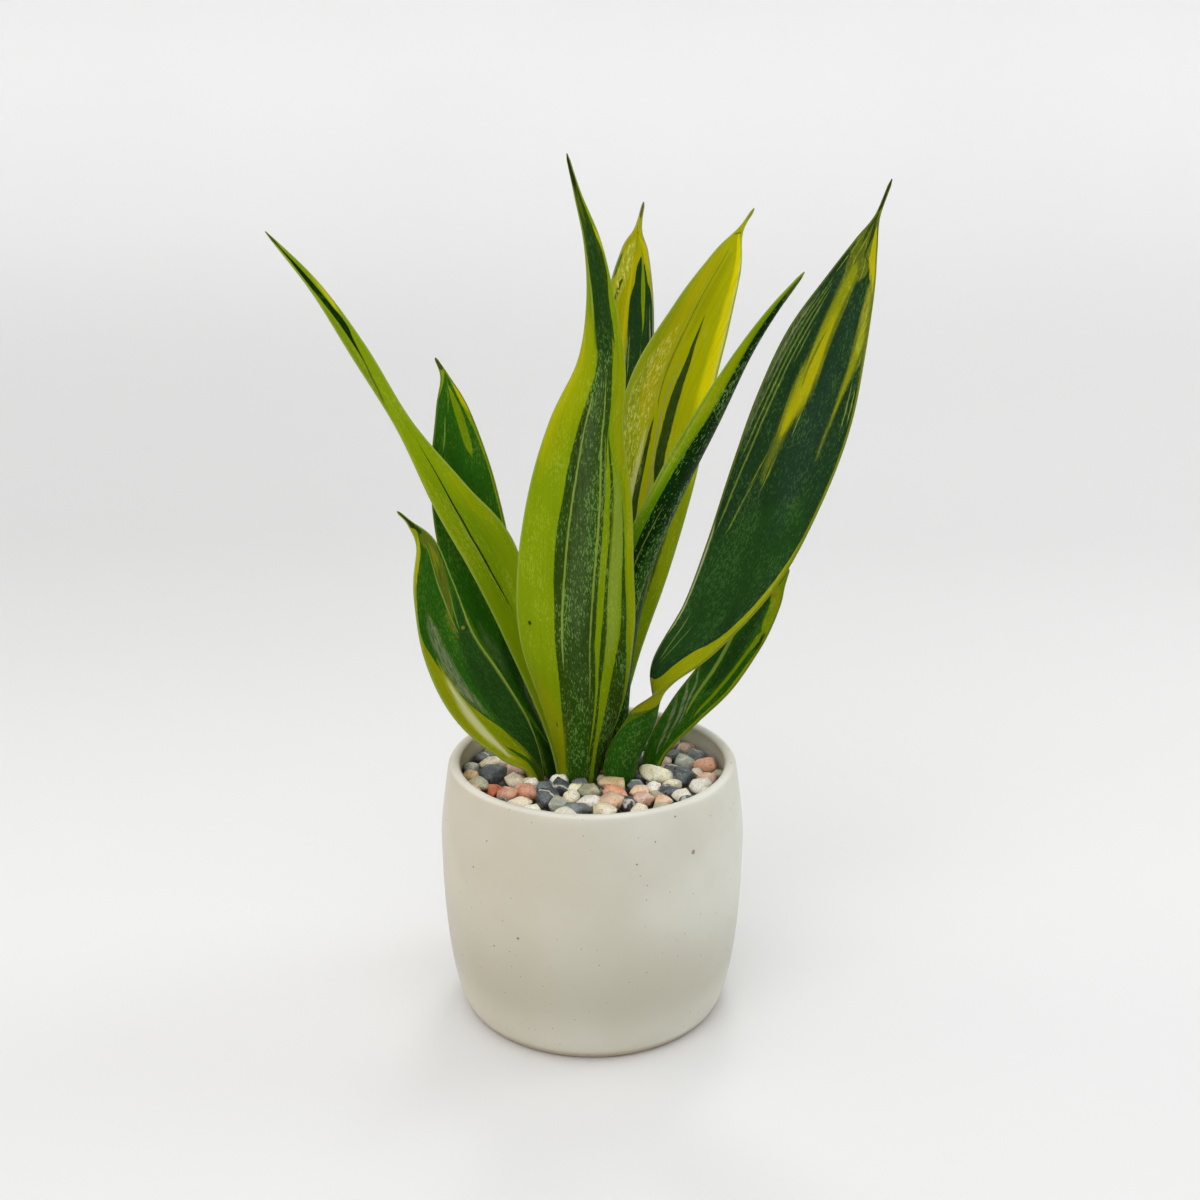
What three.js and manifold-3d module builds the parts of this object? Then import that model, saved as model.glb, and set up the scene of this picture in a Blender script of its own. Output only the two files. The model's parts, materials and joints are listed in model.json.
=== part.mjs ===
// Potted golden flame snake plant: nine stiff leaves that grow from one rhizome, set in soil under a
// bed of rounded pebbles, in a barrel-shaped stoneware pot.
// Lengths are millimetres and angles are degrees. +Z is up, the origin is the centre of the pot's flat
// underside, and the plant's front faces -Y.
import * as THREE from "three";
import { mergeVertices } from "three/addons/utils/BufferGeometryUtils.js";
import Module from "manifold-3d";

const wasm = await Module();
wasm.setup();

// Pot: a barrel that is widest at its belly, with a rounded lip and a heavily rounded foot.
const potHeight = 113.5;
const potFootRadius = 52;
const potBellyRadius = 65;
const potBellyHeight = 82;
const potRimRadius = 61;
const potWall = 4.8;
const potFloor = 8;
const potFootRoundness = 2.2;
const potShoulderPower = 1.25;
const potSides = 48;

// Filling: potting soil up to soilTop, and above it the pebbles.
const fillGap = 0.3;
const soilTop = 93;
const pebbleCoreTop = 99.9;
const pebbleBottom = 98.3;
const pebbleMiddle = 102;
const pebbleSides = 7;

// Rhizome: the thick root stock that carries the leaves, cut flat where they stand on it.
const rhizomeTop = 87.7;
const leafFoot = 88;

// Leaves: thickness at the middle of the blade, from its foot to its tip, and at its edges.
const leafFootThickness = 4.4;
const leafMiddleThickness = 2.8;
const leafTipThickness = 1.1;
const leafEdgeThickness = 0.9;
const leafGap = 0.35;
const leafFoldPower = 0.7;
const leafFacesAcross = 4;
const leafStepsPerRow = 2;

// Each leaf is a list of rows from its foot to its tip. A row holds the middle of the blade (x, y, z),
// the blade's width along its curve, the compass direction that its inner face looks in, and how far its
// edges curl up from flat.
const leafRows = {
  leaf_left_long: [
    [-9, 11, 82, 9, -80, 50],
    [-15, 14, 117, 11, -78, 48],
    [-31, 20, 163, 17.5, -76, 42],
    [-44.3, 25, 197, 24.5, -72, 38],
    [-60.5, 29, 220.5, 18, -74, 36],
    [-79.5, 37, 249, 8, -76, 34],
    [-99, 48, 278.5, 8.3, -74, 34],
    [-118.5, 60, 304.5, 5.5, -74, 34],
    [-140, 70, 326.5, 1, -74, 20],
  ],
  leaf_left_dark: [
    [-17, 17, 82, 8, -45, 50],
    [-21, 20, 112.5, 13, -50, 45],
    [-32.5, 26, 139, 22.5, -58, 36],
    [-44.8, 33, 167.5, 29.5, -64, 28],
    [-52.5, 40, 197, 32.5, -71, 24],
    [-57.4, 45, 226.5, 28, -72, 24],
    [-60.6, 48, 253, 15.8, -65, 24],
    [-63, 50, 267, 4.3, -75, 20],
    [-67, 51, 275.5, 1, -75, 10],
  ],
  leaf_left_low: [
    [-22, 4, 82, 8, -5, 50],
    [-26.5, 2, 106.5, 14, -18, 44],
    [-36, -1, 122, 24.5, -38, 36],
    [-50.1, -5, 143, 30.5, -48, 32],
    [-60, -10, 167, 25.2, -58.8, 28],
    [-64.8, -15, 192, 20, -55, 26],
    [-66, -18, 211.5, 9.2, -67, 20],
    [-71.8, -20, 221.4, 2.5, -60, 10],
    [-76.6, -21, 226.7, 1, -60, 10],
  ],
  leaf_front_wide: [
    [-7, 3.5, 82, 14, 90, 62],
    [-5.5, 1, 106.5, 23.5, 90, 55],
    [-4.5, -4, 139, 41.5, 90, 40],
    [-6.3, -9, 169, 51.5, 90, 32],
    [-6.6, -13, 199, 49.8, 90, 28],
    [-5, -16, 231, 43.3, 86, 28],
    [-2.7, -18, 257, 32.3, 85, 32],
    [2.6, -19, 282.5, 22, 75, 40],
    [2.5, -19, 307, 14, 66, 45],
    [-0.2, -19, 329.5, 8.8, 60, 45],
    [-5.2, -20, 348.1, 3.5, 60, 40],
    [-8.9, -22, 363, 1, 60, 10],
  ],
  leaf_back_upright: [
    [5, 22.5, 82, 10, -90, 50],
    [2.5, 30, 115, 16.5, -90, 45],
    [5, 39, 152, 23.5, -90, 36],
    [9, 48, 190.5, 28, -90, 30],
    [12.4, 56, 229, 28, -90, 26],
    [15.1, 63, 268, 23.8, -90, 24],
    [16.4, 68, 297.5, 20.8, -92, 22],
    [18.2, 71, 318, 12.2, -88, 20],
    [19.7, 72, 327.5, 3.5, -90, 10],
    [22, 73, 338.7, 1, -90, 10],
  ],
  leaf_back_yellow: [
    [4, 18, 82, 10, -80, 50],
    [3.6, 22, 112.5, 16, -74, 45],
    [8, 28, 150, 25.5, -66, 42],
    [15.2, 35, 189, 38, -63, 40],
    [22.5, 42, 227, 45.3, -62, 40],
    [28.8, 48, 260.5, 46.5, -64, 40],
    [43.1, 54, 291.5, 33, -64, 38],
    [55.3, 59, 314, 18, -63, 30],
    [62.3, 61, 327.3, 3.4, -70, 10],
    [68.3, 62, 336.8, 1, -70, 10],
  ],
  leaf_right_slim: [
    [10.5, 11.5, 82, 8, 125, 50],
    [11.5, 12, 119, 13, 126, 44],
    [13.6, 9, 159, 18.6, 128, 36],
    [19.9, 7, 195, 21.1, 127, 34],
    [34.5, 5, 230, 20.4, 132, 34],
    [48.1, 3, 258, 17.8, 134, 34],
    [60.7, 1, 284, 10.5, 134, 34],
    [71.7, -1, 302.4, 6.3, 138, 32],
    [82.5, -3, 317.8, 1.5, 138, 10],
  ],
  leaf_right_wide: [
    [14, 1.5, 82, 12, 110, 60],
    [14, 0, 107.5, 19.4, 113.5, 58],
    [23.4, -2.9, 130.5, 17.8, 127.3, 60],
    [32.6, -8, 154.5, 20, 206.5, 45.4],
    [49.9, -7.5, 175, 32.5, 212.8, 35.2],
    [64.1, -8, 203, 39, 231, 28],
    [75.2, -10, 236, 41.2, 245.5, 24],
    [83.6, -11, 265, 40, 255.7, 22],
    [90.9, -12, 290.5, 33.1, 253.2, 20],
    [99.1, -13, 314, 20.1, 257, 20],
    [104.2, -14, 329.5, 9.5, 256, 16],
    [108, -14, 340, 2.2, 256, 10],
    [112.5, -15, 353.5, 1, 256, 10],
  ],
  leaf_right_small: [
    [25, 13, 82, 8, 215, 50],
    [27.8, 13.5, 106.5, 12.3, 219.2, 46],
    [41.3, 21, 125.5, 17.2, 239, 38],
    [56.1, 29, 140.5, 20, 240.5, 30],
    [67.2, 36, 156.5, 20.6, 243.5, 26],
    [77, 42, 170, 14, 249, 28],
    [82.6, 46, 176.3, 6.4, 245, 36],
    [86.4, 48, 183, 2.5, 245, 30],
  ],
};

// The leaves whose inner face is mostly yellow.
const yellowLeaves = ["leaf_left_long", "leaf_back_yellow"];

// Pebbles that show at the front and sides: x, y, longest, across, and turn of the longest side from +X.
const shownPebbles = [
  [-48.5, 24, 8.5, 7.5, 30],
  [-44.5, 31, 8.5, 7.5, 0],
  [-39, 38, 8, 7, 45],
  [-53, 13, 8, 7, 80],
  [-43.5, 15.5, 13, 9, 10],
  [-43, 2, 12.5, 10, -5],
  [-48.5, -5.5, 12, 7, -40],
  [-33.5, 10, 12, 9, -20],
  [-33, -3.5, 9.5, 8.5, 0],
  [-41, -11, 8.5, 7, 40],
  [-36, -17, 9.5, 8, -25],
  [-27.5, -14, 11, 9.5, -15],
  [-26.5, -4.5, 9, 8, 5],
  [-20, -7.5, 8, 7, 30],
  [-18.5, -20, 11, 9, 30],
  [-13, -8, 9, 8, -30],
  [-14, -1, 8.5, 7.5, 20],
  [-5, -4, 8, 7.5, 0],
  [-9.5, -17.5, 8.5, 7.5, 60],
  [-1.5, -13.5, 9.5, 8.5, 10],
  [-7, -10.5, 7, 6, 20],
  [-1.5, -22.5, 10.5, 8, -5],
  [-5.5, -30.5, 13, 8, 10],
  [-30, -24, 10, 8, -20],
  [-13.5, -26.5, 9, 8, 0],
  [8, -6.5, 12, 8.5, 0],
  [5, 1.5, 6.5, 6, 0],
  [18.5, -4.5, 7.5, 6.5, 15],
  [19.5, -12, 9, 7.5, 15],
  [10, -15.5, 11, 8.5, -10],
  [7.5, -24, 11, 9, -45],
  [14.5, -23, 8, 7, 0],
  [21, -20.5, 8.5, 8, 30],
  [26.5, -14.5, 9, 6, 80],
  [27.5, 3, 17, 9, -25],
  [21.5, 23, 8, 7.5, 0],
  [32, -12, 9, 7, -30],
  [37.5, -15.5, 8.5, 8, 0],
  [29.5, -23.5, 9, 8, 10],
  [39.5, 1.5, 10.5, 9.5, 20],
  [35, 9.5, 8, 7, -10],
  [41, 17, 11, 8.5, 15],
  [36, 25, 9, 8, -20],
  [46, -8, 10.5, 7.5, 20],
  [49, 1, 8.5, 7.5, -20],
  [49, 14.5, 10.5, 8, -5],
  [54, 7.5, 8, 5.5, 80],
  [46.5, 25, 9.5, 7.5, -5],
  [42, 33, 8.5, 7.5, 10],
  [36, 40, 8.5, 8, 0],
  [25, 47, 8, 7, 80],
  [25, 37, 9, 8, 20],
];

// Loose filling pebbles: longest sizes tried, from large to small, and how close two may lie.
const fillSizes = [11, 10, 9, 8, 7];
const fillTriesEach = 420;
const fillOverlap = 0.9;
const fillSeed = 17;

const glaze = new THREE.MeshStandardMaterial({ color: "#d3cfc2", roughness: 0.45, metalness: 0 });
const earth = new THREE.MeshStandardMaterial({ color: "#3a2c22", roughness: 0.95, metalness: 0 });
const stone = new THREE.MeshStandardMaterial({ color: "#b9ada0", roughness: 0.6, metalness: 0 });
const root = new THREE.MeshStandardMaterial({ color: "#c9a56b", roughness: 0.7, metalness: 0 });
const greenBlade = new THREE.MeshStandardMaterial({ color: "#1f4a1c", roughness: 0.4, metalness: 0 });
const yellowBlade = new THREE.MeshStandardMaterial({ color: "#a9ab1c", roughness: 0.4, metalness: 0 });

const part = new THREE.Group();

function addMesh(name, geometry, material) {
  const mesh = new THREE.Mesh(geometry, material);
  mesh.name = name;
  part.add(mesh);
}

// A geometry with its shared vertices merged and no empty triangles.
function welded(geometry) {
  const bare = geometry.clone();
  bare.deleteAttribute("normal");
  bare.deleteAttribute("uv");
  const merged = mergeVertices(bare, 1e-4);
  const corners = merged.index.array;
  const kept = [];
  for (let i = 0; i < corners.length; i += 3) {
    const [a, b, c] = [corners[i], corners[i + 1], corners[i + 2]];
    if (a !== b && b !== c && c !== a) kept.push(a, b, c);
  }
  merged.setIndex(kept);
  return merged;
}

function toSolid(geometry) {
  const closed = welded(geometry);
  return new wasm.Manifold(new wasm.Mesh({
    numProp: 3,
    vertProperties: new Float32Array(closed.attributes.position.array),
    triVerts: new Uint32Array(closed.index.array),
  }));
}

function toGeometry(solid) {
  const mesh = solid.getMesh();
  const geometry = new THREE.BufferGeometry();
  geometry.setAttribute("position", new THREE.BufferAttribute(new Float32Array(mesh.vertProperties), 3));
  geometry.setIndex(new THREE.BufferAttribute(new Uint32Array(mesh.triVerts), 1));
  geometry.computeVertexNormals();
  return geometry;
}

function joined(solids) {
  return solids.reduce((whole, solid) => whole.add(solid));
}

function largestPiece(solid) {
  return solid.decompose().reduce((best, piece) => (piece.volume() > best.volume() ? piece : best));
}

// A solid turned about the vertical axis, from [radius, height] points in order from the axis, outward
// along its underside, up its wall and back to the axis.
function turned(outline) {
  const points = outline.map(([radius, height]) => new THREE.Vector2(radius, height));
  return new THREE.LatheGeometry(points, potSides).rotateX(Math.PI / 2);
}

// The barrel's radius at a height, drawn in by inset, over a floor at the height bottom.
function barrelRadius(height, inset, bottom) {
  if (height < potBellyHeight) {
    const drop = (potBellyHeight - height) / (potBellyHeight - bottom);
    const swell = (1 - drop ** potFootRoundness) ** (1 / potFootRoundness);
    return potFootRadius - inset + (potBellyRadius - potFootRadius) * swell;
  }
  const rise = (height - potBellyHeight) / (potHeight - potBellyHeight);
  return potBellyRadius - inset - (potBellyRadius - potRimRadius) * rise ** potShoulderPower;
}

// Points up the barrel's wall, closest together round the foot, where it curves most.
function barrelWall(inset, bottom, top) {
  const footSteps = 7;
  const shoulderSteps = 4;
  const points = [];
  for (let i = 0; i <= footSteps; i += 1) {
    const height = bottom + (potBellyHeight - bottom) * (1 - Math.cos((i / footSteps) * Math.PI / 2));
    points.push([barrelRadius(height, inset, bottom), height]);
  }
  for (let i = 1; i <= shoulderSteps; i += 1) {
    const height = potBellyHeight + ((top - potBellyHeight) * i) / shoulderSteps;
    points.push([barrelRadius(height, inset, bottom), height]);
  }
  return points;
}

function potGeometry() {
  const lipRadius = potWall / 2;
  const lipCentre = potRimRadius - lipRadius;
  const lipBase = potHeight - lipRadius;
  const lipSteps = 5;
  const lip = [];
  for (let i = 1; i < lipSteps; i += 1) {
    const angle = (i / lipSteps) * Math.PI;
    lip.push([lipCentre + lipRadius * Math.cos(angle), lipBase + lipRadius * Math.sin(angle)]);
  }
  const outside = barrelWall(0, 0, lipBase);
  const inside = barrelWall(potWall, potFloor, lipBase).reverse();
  return turned([[0, 0], ...outside, ...lip, ...inside, [0, potFloor]]);
}

// The space inside the pot between two heights, clear of its wall and floor.
function potFilling(bottom, top) {
  const floor = potFloor + fillGap;
  const wall = barrelWall(potWall + fillGap, floor, potHeight).filter(([, z]) => z > bottom && z < top);
  const foot = [barrelRadius(bottom, potWall + fillGap, floor), bottom];
  const brim = [barrelRadius(top, potWall + fillGap, floor), top];
  return turned([[0, bottom], foot, ...wall, brim, [0, top]]);
}

// A smooth curve through a list of rows, read at t from 0 to the last row.
function readRows(rows, t) {
  const i = Math.min(Math.floor(t), rows.length - 2);
  const f = t - i;
  return rows[i].map((from, column) => {
    const to = rows[i + 1][column];
    const before = i > 0 ? rows[i - 1][column] : 2 * from - to;
    const after = i + 2 < rows.length ? rows[i + 2][column] : 2 * to - from;
    const bend = 2 * before - 5 * from + 4 * to - after;
    const turn = 3 * (from - to) + after - before;
    return from + 0.5 * f * (to - before + f * (bend + f * turn));
  });
}

// How far a blade's section has gone sideways and up at u, from -1 at one edge to 1 at the other.
function sectionPoint(u, halfWidth, curl) {
  const steps = 12;
  let sideways = 0;
  let up = 0;
  for (let i = 0; i < steps; i += 1) {
    const slope = curl * (((i + 0.5) / steps) * Math.abs(u)) ** leafFoldPower;
    sideways += (Math.cos(slope) * u) / steps;
    up += (Math.sin(slope) * Math.abs(u)) / steps;
  }
  return [sideways * halfWidth, up * halfWidth];
}

// The two faces of a blade at one place along it, each a row of points from edge to edge.
function leafSection(rows, t, extra) {
  const [x, y, z, width, facing, curl] = readRows(rows, t);
  const [x0, y0, z0] = readRows(rows, Math.max(t - 0.01, 0));
  const [x1, y1, z1] = readRows(rows, Math.min(t + 0.01, rows.length - 1));
  const along = new THREE.Vector3(x1 - x0, y1 - y0, z1 - z0).normalize();
  const heading = THREE.MathUtils.degToRad(facing);
  const inward = new THREE.Vector3(Math.cos(heading), Math.sin(heading), 0);
  inward.addScaledVector(along, -inward.dot(along)).normalize();
  const across = new THREE.Vector3().crossVectors(inward, along);
  const halfWidth = Math.max(width, leafTipThickness) / 2 + extra;
  const curlAngle = THREE.MathUtils.degToRad(curl);
  const share = t / (rows.length - 1);
  const middle = share < 0.5
    ? THREE.MathUtils.lerp(leafFootThickness, leafMiddleThickness, share * 2)
    : THREE.MathUtils.lerp(leafMiddleThickness, leafTipThickness, share * 2 - 1);
  const inner = [];
  const outer = [];
  for (let j = 0; j <= leafFacesAcross; j += 1) {
    const u = (2 * j) / leafFacesAcross - 1;
    const [sideways, up] = sectionPoint(u, halfWidth, curlAngle);
    const slope = curlAngle * Math.abs(u) ** leafFoldPower * Math.sign(u);
    const half = (leafEdgeThickness + (middle - leafEdgeThickness) * (1 - Math.abs(u) ** 2.5)) / 2 + extra;
    const spot = new THREE.Vector3(x, y, z).addScaledVector(across, sideways).addScaledVector(inward, up);
    const outward = new THREE.Vector3().addScaledVector(inward, Math.cos(slope));
    outward.addScaledVector(across, -Math.sin(slope));
    inner.push(spot.clone().addScaledVector(outward, half));
    outer.push(spot.clone().addScaledVector(outward, -half));
  }
  return [inner, outer];
}

// A whole blade as one closed mesh, with both of its faces split into triangles alike.
function leafGeometry(rows, extra) {
  const steps = (rows.length - 1) * leafStepsPerRow;
  const positions = [];
  const faces = [];
  const pointsPerFace = leafFacesAcross + 1;
  for (let k = 0; k <= steps; k += 1) {
    const [inner, outer] = leafSection(rows, k / leafStepsPerRow, extra);
    [...inner, ...outer].forEach((point) => positions.push(point.x, point.y, point.z));
  }
  const innerPoint = (k, j) => k * 2 * pointsPerFace + j;
  const outerPoint = (k, j) => innerPoint(k, j) + pointsPerFace;
  const addQuad = (a, b, c, d) => faces.push(a, b, c, a, c, d);
  const last = leafFacesAcross;
  for (let k = 0; k < steps; k += 1) {
    for (let j = 0; j < last; j += 1) {
      addQuad(innerPoint(k, j), innerPoint(k + 1, j), innerPoint(k + 1, j + 1), innerPoint(k, j + 1));
      addQuad(outerPoint(k + 1, j + 1), outerPoint(k + 1, j), outerPoint(k, j), outerPoint(k, j + 1));
    }
    addQuad(innerPoint(k, last), innerPoint(k + 1, last), outerPoint(k + 1, last), outerPoint(k, last));
    addQuad(innerPoint(k, 0), outerPoint(k, 0), outerPoint(k + 1, 0), innerPoint(k + 1, 0));
  }
  for (let j = 0; j < last; j += 1) {
    addQuad(innerPoint(0, j), innerPoint(0, j + 1), outerPoint(0, j + 1), outerPoint(0, j));
    addQuad(innerPoint(steps, j), outerPoint(steps, j), outerPoint(steps, j + 1), innerPoint(steps, j + 1));
  }
  const geometry = new THREE.BufferGeometry();
  geometry.setAttribute("position", new THREE.BufferAttribute(new Float32Array(positions), 3));
  geometry.setIndex(faces);
  return geometry;
}

// Everything below a height, as a block to cut with.
function blockBelow(top) {
  const size = 400;
  return toSolid(new THREE.BoxGeometry(size, size, size).translate(0, 0, top - size / 2));
}

// Two swollen lobes side by side, joined by a neck, with short thick roots.
function rhizomeSolid(extra) {
  const lobes = [
    { centre: [-13, 10, 78], size: [19, 17, 14] },
    { centre: [12, 14, 77], size: [20, 20, 15] },
  ];
  const roots = [
    { from: [-20, 12, 74], to: [-38, 18, 48] },
    { from: [-12, 2, 72], to: [-16, -20, 40] },
    { from: [14, 2, 72], to: [22, -20, 44] },
    { from: [24, 16, 74], to: [37, 25, 46] },
    { from: [2, 22, 72], to: [0, 36, 42] },
  ];
  const rootRadius = 2.4;
  const solids = lobes.map(({ centre, size }) => {
    const [width, depth, height] = size.map((value) => value + extra);
    return toSolid(new THREE.SphereGeometry(1, 10, 6).rotateX(Math.PI / 2).scale(width, depth, height)
      .translate(...centre));
  });
  roots.forEach(({ from, to }) => {
    const start = new THREE.Vector3(...from);
    const span = new THREE.Vector3(...to).sub(start);
    const length = span.length() + 2 * extra;
    const tube = new THREE.CylinderGeometry(rootRadius / 2 + extra, rootRadius + extra, length, 6);
    const turn = new THREE.Quaternion().setFromUnitVectors(new THREE.Vector3(0, 1, 0), span.clone().normalize());
    tube.applyQuaternion(turn).translate(...start.clone().addScaledVector(span, 0.5));
    solids.push(toSolid(tube));
  });
  const cutHeight = rhizomeTop + extra;
  return joined(solids).subtract(blockBelow(cutHeight + 400).subtract(blockBelow(cutHeight)));
}

// Numbers from 0 to 1 that come out alike each time.
function seededNumbers(seed) {
  let state = seed >>> 0;
  return () => {
    state = (Math.imul(state, 1664525) + 1013904223) >>> 0;
    return state / 4294967296;
  };
}

// Where each leaf stands in the pebbles, as points from edge to edge of its section.
function leafFeet() {
  return Object.values(leafRows).flatMap((rows) => {
    const t = (pebbleMiddle - rows[0][2]) / (rows[1][2] - rows[0][2]);
    const [inner, outer] = leafSection(rows, t, 0);
    return inner.map((point, j) => [(point.x + outer[j].x) / 2, (point.y + outer[j].y) / 2]);
  });
}

// The pebbles that show, then smaller and smaller ones dropped into the spaces that are left.
function pebblePlaces() {
  const random = seededNumbers(fillSeed);
  const feet = leafFeet();
  const bedRadius = barrelRadius(pebbleMiddle, potWall + fillGap, potFloor + fillGap);
  const pebbles = shownPebbles.map(([x, y, long, wide, turn]) => ({ x, y, long, wide, turn }));
  const meanRadius = ({ long, wide }) => (long + wide) / 4;
  fillSizes.forEach((size) => {
    for (let i = 0; i < fillTriesEach; i += 1) {
      const angle = random() * 2 * Math.PI;
      const reach = Math.sqrt(random()) * bedRadius;
      const long = size * (0.92 + 0.16 * random());
      const wide = long * (0.72 + 0.2 * random());
      const turn = random() * 180;
      const pebble = { x: reach * Math.cos(angle), y: reach * Math.sin(angle), long, wide, turn };
      const radius = meanRadius(pebble);
      const inside = reach + radius * 0.9 < bedRadius;
      const clear = pebbles.every((other) => (
        Math.hypot(other.x - pebble.x, other.y - pebble.y) > fillOverlap * (radius + meanRadius(other))));
      const offLeaves = feet.every(([x, y]) => Math.hypot(x - pebble.x, y - pebble.y) > radius + 1.2);
      if (inside && clear && offLeaves) pebbles.push(pebble);
    }
  });
  return pebbles.map((pebble) => ({
    ...pebble,
    tall: pebble.wide * (0.8 + 0.12 * random()),
    bottom: pebbleBottom + 0.8 * random(),
  }));
}

// A rounded pebble: rings from just under its middle to its crown, on a flat bottom sunk in the bed.
function pebbleGeometry({ x, y, bottom, long, wide, tall, turn }) {
  const ringAngles = [-60, -5, 45];
  const outline = ringAngles.map((angle) => {
    const lift = THREE.MathUtils.degToRad(angle);
    return new THREE.Vector2(Math.cos(lift) / 2, Math.sin(lift) / 2);
  });
  outline.unshift(new THREE.Vector2(0, outline[0].y));
  outline.push(new THREE.Vector2(0, 0.5));
  return new THREE.LatheGeometry(outline, pebbleSides).rotateX(Math.PI / 2)
    .scale(long, wide, tall).rotateZ(THREE.MathUtils.degToRad(turn)).translate(x, y, bottom + tall / 2);
}

// One bed: a thin core that the pebbles stand out of, kept inside the pot and clear of the leaves.
function pebbleBed(leafCutter) {
  const core = toSolid(potFilling(soilTop + fillGap, pebbleCoreTop));
  const pebbles = pebblePlaces().map((pebble) => toSolid(pebbleGeometry(pebble)));
  const room = toSolid(potFilling(soilTop + fillGap, potHeight));
  return largestPiece(joined([core, ...pebbles]).intersect(room).subtract(leafCutter));
}

const leafSolid = (rows, extra) => toSolid(leafGeometry(rows, extra));
const leafCutter = joined(Object.values(leafRows).map((rows) => leafSolid(rows, leafGap)));
const soilCutter = leafCutter.add(rhizomeSolid(fillGap));

addMesh("pot", welded(potGeometry()), glaze);
addMesh("soil", toGeometry(toSolid(potFilling(potFloor + fillGap, soilTop)).subtract(soilCutter)), earth);
addMesh("rhizome", toGeometry(rhizomeSolid(0)), root);
addMesh("pebble_bed", toGeometry(pebbleBed(leafCutter)), stone);
Object.entries(leafRows).forEach(([name, rows]) => {
  const blade = leafSolid(rows, 0).subtract(blockBelow(leafFoot));
  addMesh(name, toGeometry(blade), yellowLeaves.includes(name) ? yellowBlade : greenBlade);
});

export default part;
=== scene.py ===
# Potted golden flame snake plant: nine leaf blades, a bed of rounded pebbles and a speckled stoneware
# pot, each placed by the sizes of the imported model. Sizes in the dictionaries are millimetres, unless
# a note says otherwise.
import json
import math
import random

import bmesh
import bpy
import numpy as np
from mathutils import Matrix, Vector

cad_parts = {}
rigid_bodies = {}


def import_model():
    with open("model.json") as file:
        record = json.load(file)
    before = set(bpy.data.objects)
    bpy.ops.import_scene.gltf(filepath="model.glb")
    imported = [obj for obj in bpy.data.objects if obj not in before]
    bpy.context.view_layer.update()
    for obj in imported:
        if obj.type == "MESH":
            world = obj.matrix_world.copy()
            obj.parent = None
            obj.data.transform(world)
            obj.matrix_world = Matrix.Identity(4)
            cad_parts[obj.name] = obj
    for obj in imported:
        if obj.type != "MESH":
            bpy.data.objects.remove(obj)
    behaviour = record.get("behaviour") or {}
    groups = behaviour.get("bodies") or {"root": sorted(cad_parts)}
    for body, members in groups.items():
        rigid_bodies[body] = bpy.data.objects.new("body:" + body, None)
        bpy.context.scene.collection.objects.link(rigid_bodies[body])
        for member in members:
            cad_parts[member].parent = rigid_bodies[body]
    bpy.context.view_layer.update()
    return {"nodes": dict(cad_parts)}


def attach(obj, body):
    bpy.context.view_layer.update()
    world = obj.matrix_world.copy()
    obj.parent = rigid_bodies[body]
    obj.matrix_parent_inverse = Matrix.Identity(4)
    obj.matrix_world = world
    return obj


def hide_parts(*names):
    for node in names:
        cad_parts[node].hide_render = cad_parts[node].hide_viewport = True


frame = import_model()
scene = bpy.context.scene
mm = 0.001
print("stage: frame loaded")


# Node helpers

def paint(hexColour):
    values = [int(hexColour[i:i + 2], 16) / 255 for i in (1, 3, 5)]
    return tuple(v / 12.92 if v <= 0.04045 else ((v + 0.055) / 1.055) ** 2.4 for v in values) + (1.0,)


def addNode(tree, kind, values=None, **settings):
    made = tree.nodes.new(kind)
    for key, value in settings.items():
        setattr(made, key, value)
    for key, value in (values or {}).items():
        socket = made.inputs[key]
        if isinstance(value, bpy.types.NodeSocket):
            tree.links.new(value, socket)
        else:
            socket.default_value = value
    return made


def calc(tree, operation, *values):
    return addNode(tree, "ShaderNodeMath", dict(enumerate(values)), operation=operation).outputs[0]


def times(tree, first, second):
    return calc(tree, "MULTIPLY", first, second)


# A value scaled by a factor, then moved by an offset
def scaled(tree, value, factor, offset):
    return calc(tree, "MULTIPLY_ADD", value, factor, offset)


def ramp(tree, value, low, high, start=0.0, end=1.0, kind="SMOOTHSTEP"):
    values = {"Value": value, "From Min": low, "From Max": high, "To Min": start, "To Max": end}
    return addNode(tree, "ShaderNodeMapRange", values, interpolation_type=kind).outputs[0]


def mixColour(tree, share, first, second, blend="MIX"):
    values = {0: share, 6: first, 7: second}
    return addNode(tree, "ShaderNodeMix", values, data_type="RGBA", blend_type=blend).outputs[2]


def tint(tree, share, colour, hexColour, blend="MIX"):
    return mixColour(tree, share, colour, paint(hexColour), blend)


def spots(tree, coordinates, scale, detail=2.0, roughness=0.5):
    values = {"Vector": coordinates, "Scale": scale, "Detail": detail, "Roughness": roughness}
    return addNode(tree, "ShaderNodeTexNoise", values).outputs["Fac"]


# Spots that fade in from low to high, and the colour with those spots tinted
def spotLayer(tree, place, colour, scale, detail, roughness, low, high, strength, hexColour, blend="MIX"):
    noise = spots(tree, place, scale, detail, roughness)
    return noise, tint(tree, ramp(tree, noise, low, high, 0.0, strength), colour, hexColour, blend)


def cells(tree, coordinates, scale):
    return addNode(tree, "ShaderNodeTexVoronoi", {"Vector": coordinates, "Scale": scale}).outputs


def stretched(tree, coordinates, scale, shift=(0.0, 0.0, 0.0)):
    values = {"Vector": coordinates, "Location": shift, "Scale": scale}
    return addNode(tree, "ShaderNodeMapping", values).outputs[0]


def objectPlace(tree):
    return addNode(tree, "ShaderNodeTexCoord").outputs["Object"]


def splitVector(tree, vector):
    return addNode(tree, "ShaderNodeSeparateXYZ", {0: vector}).outputs


def splitColour(tree, colour):
    return addNode(tree, "ShaderNodeSeparateColor", {0: colour}).outputs


def attributeOf(tree, name, output="Fac"):
    return addNode(tree, "ShaderNodeAttribute", attribute_name=name).outputs[output]


def newMaterial(name):
    material = bpy.data.materials.new(name)
    material.use_nodes = True
    tree = material.node_tree
    return material, tree, tree.nodes["Principled BSDF"]


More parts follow.
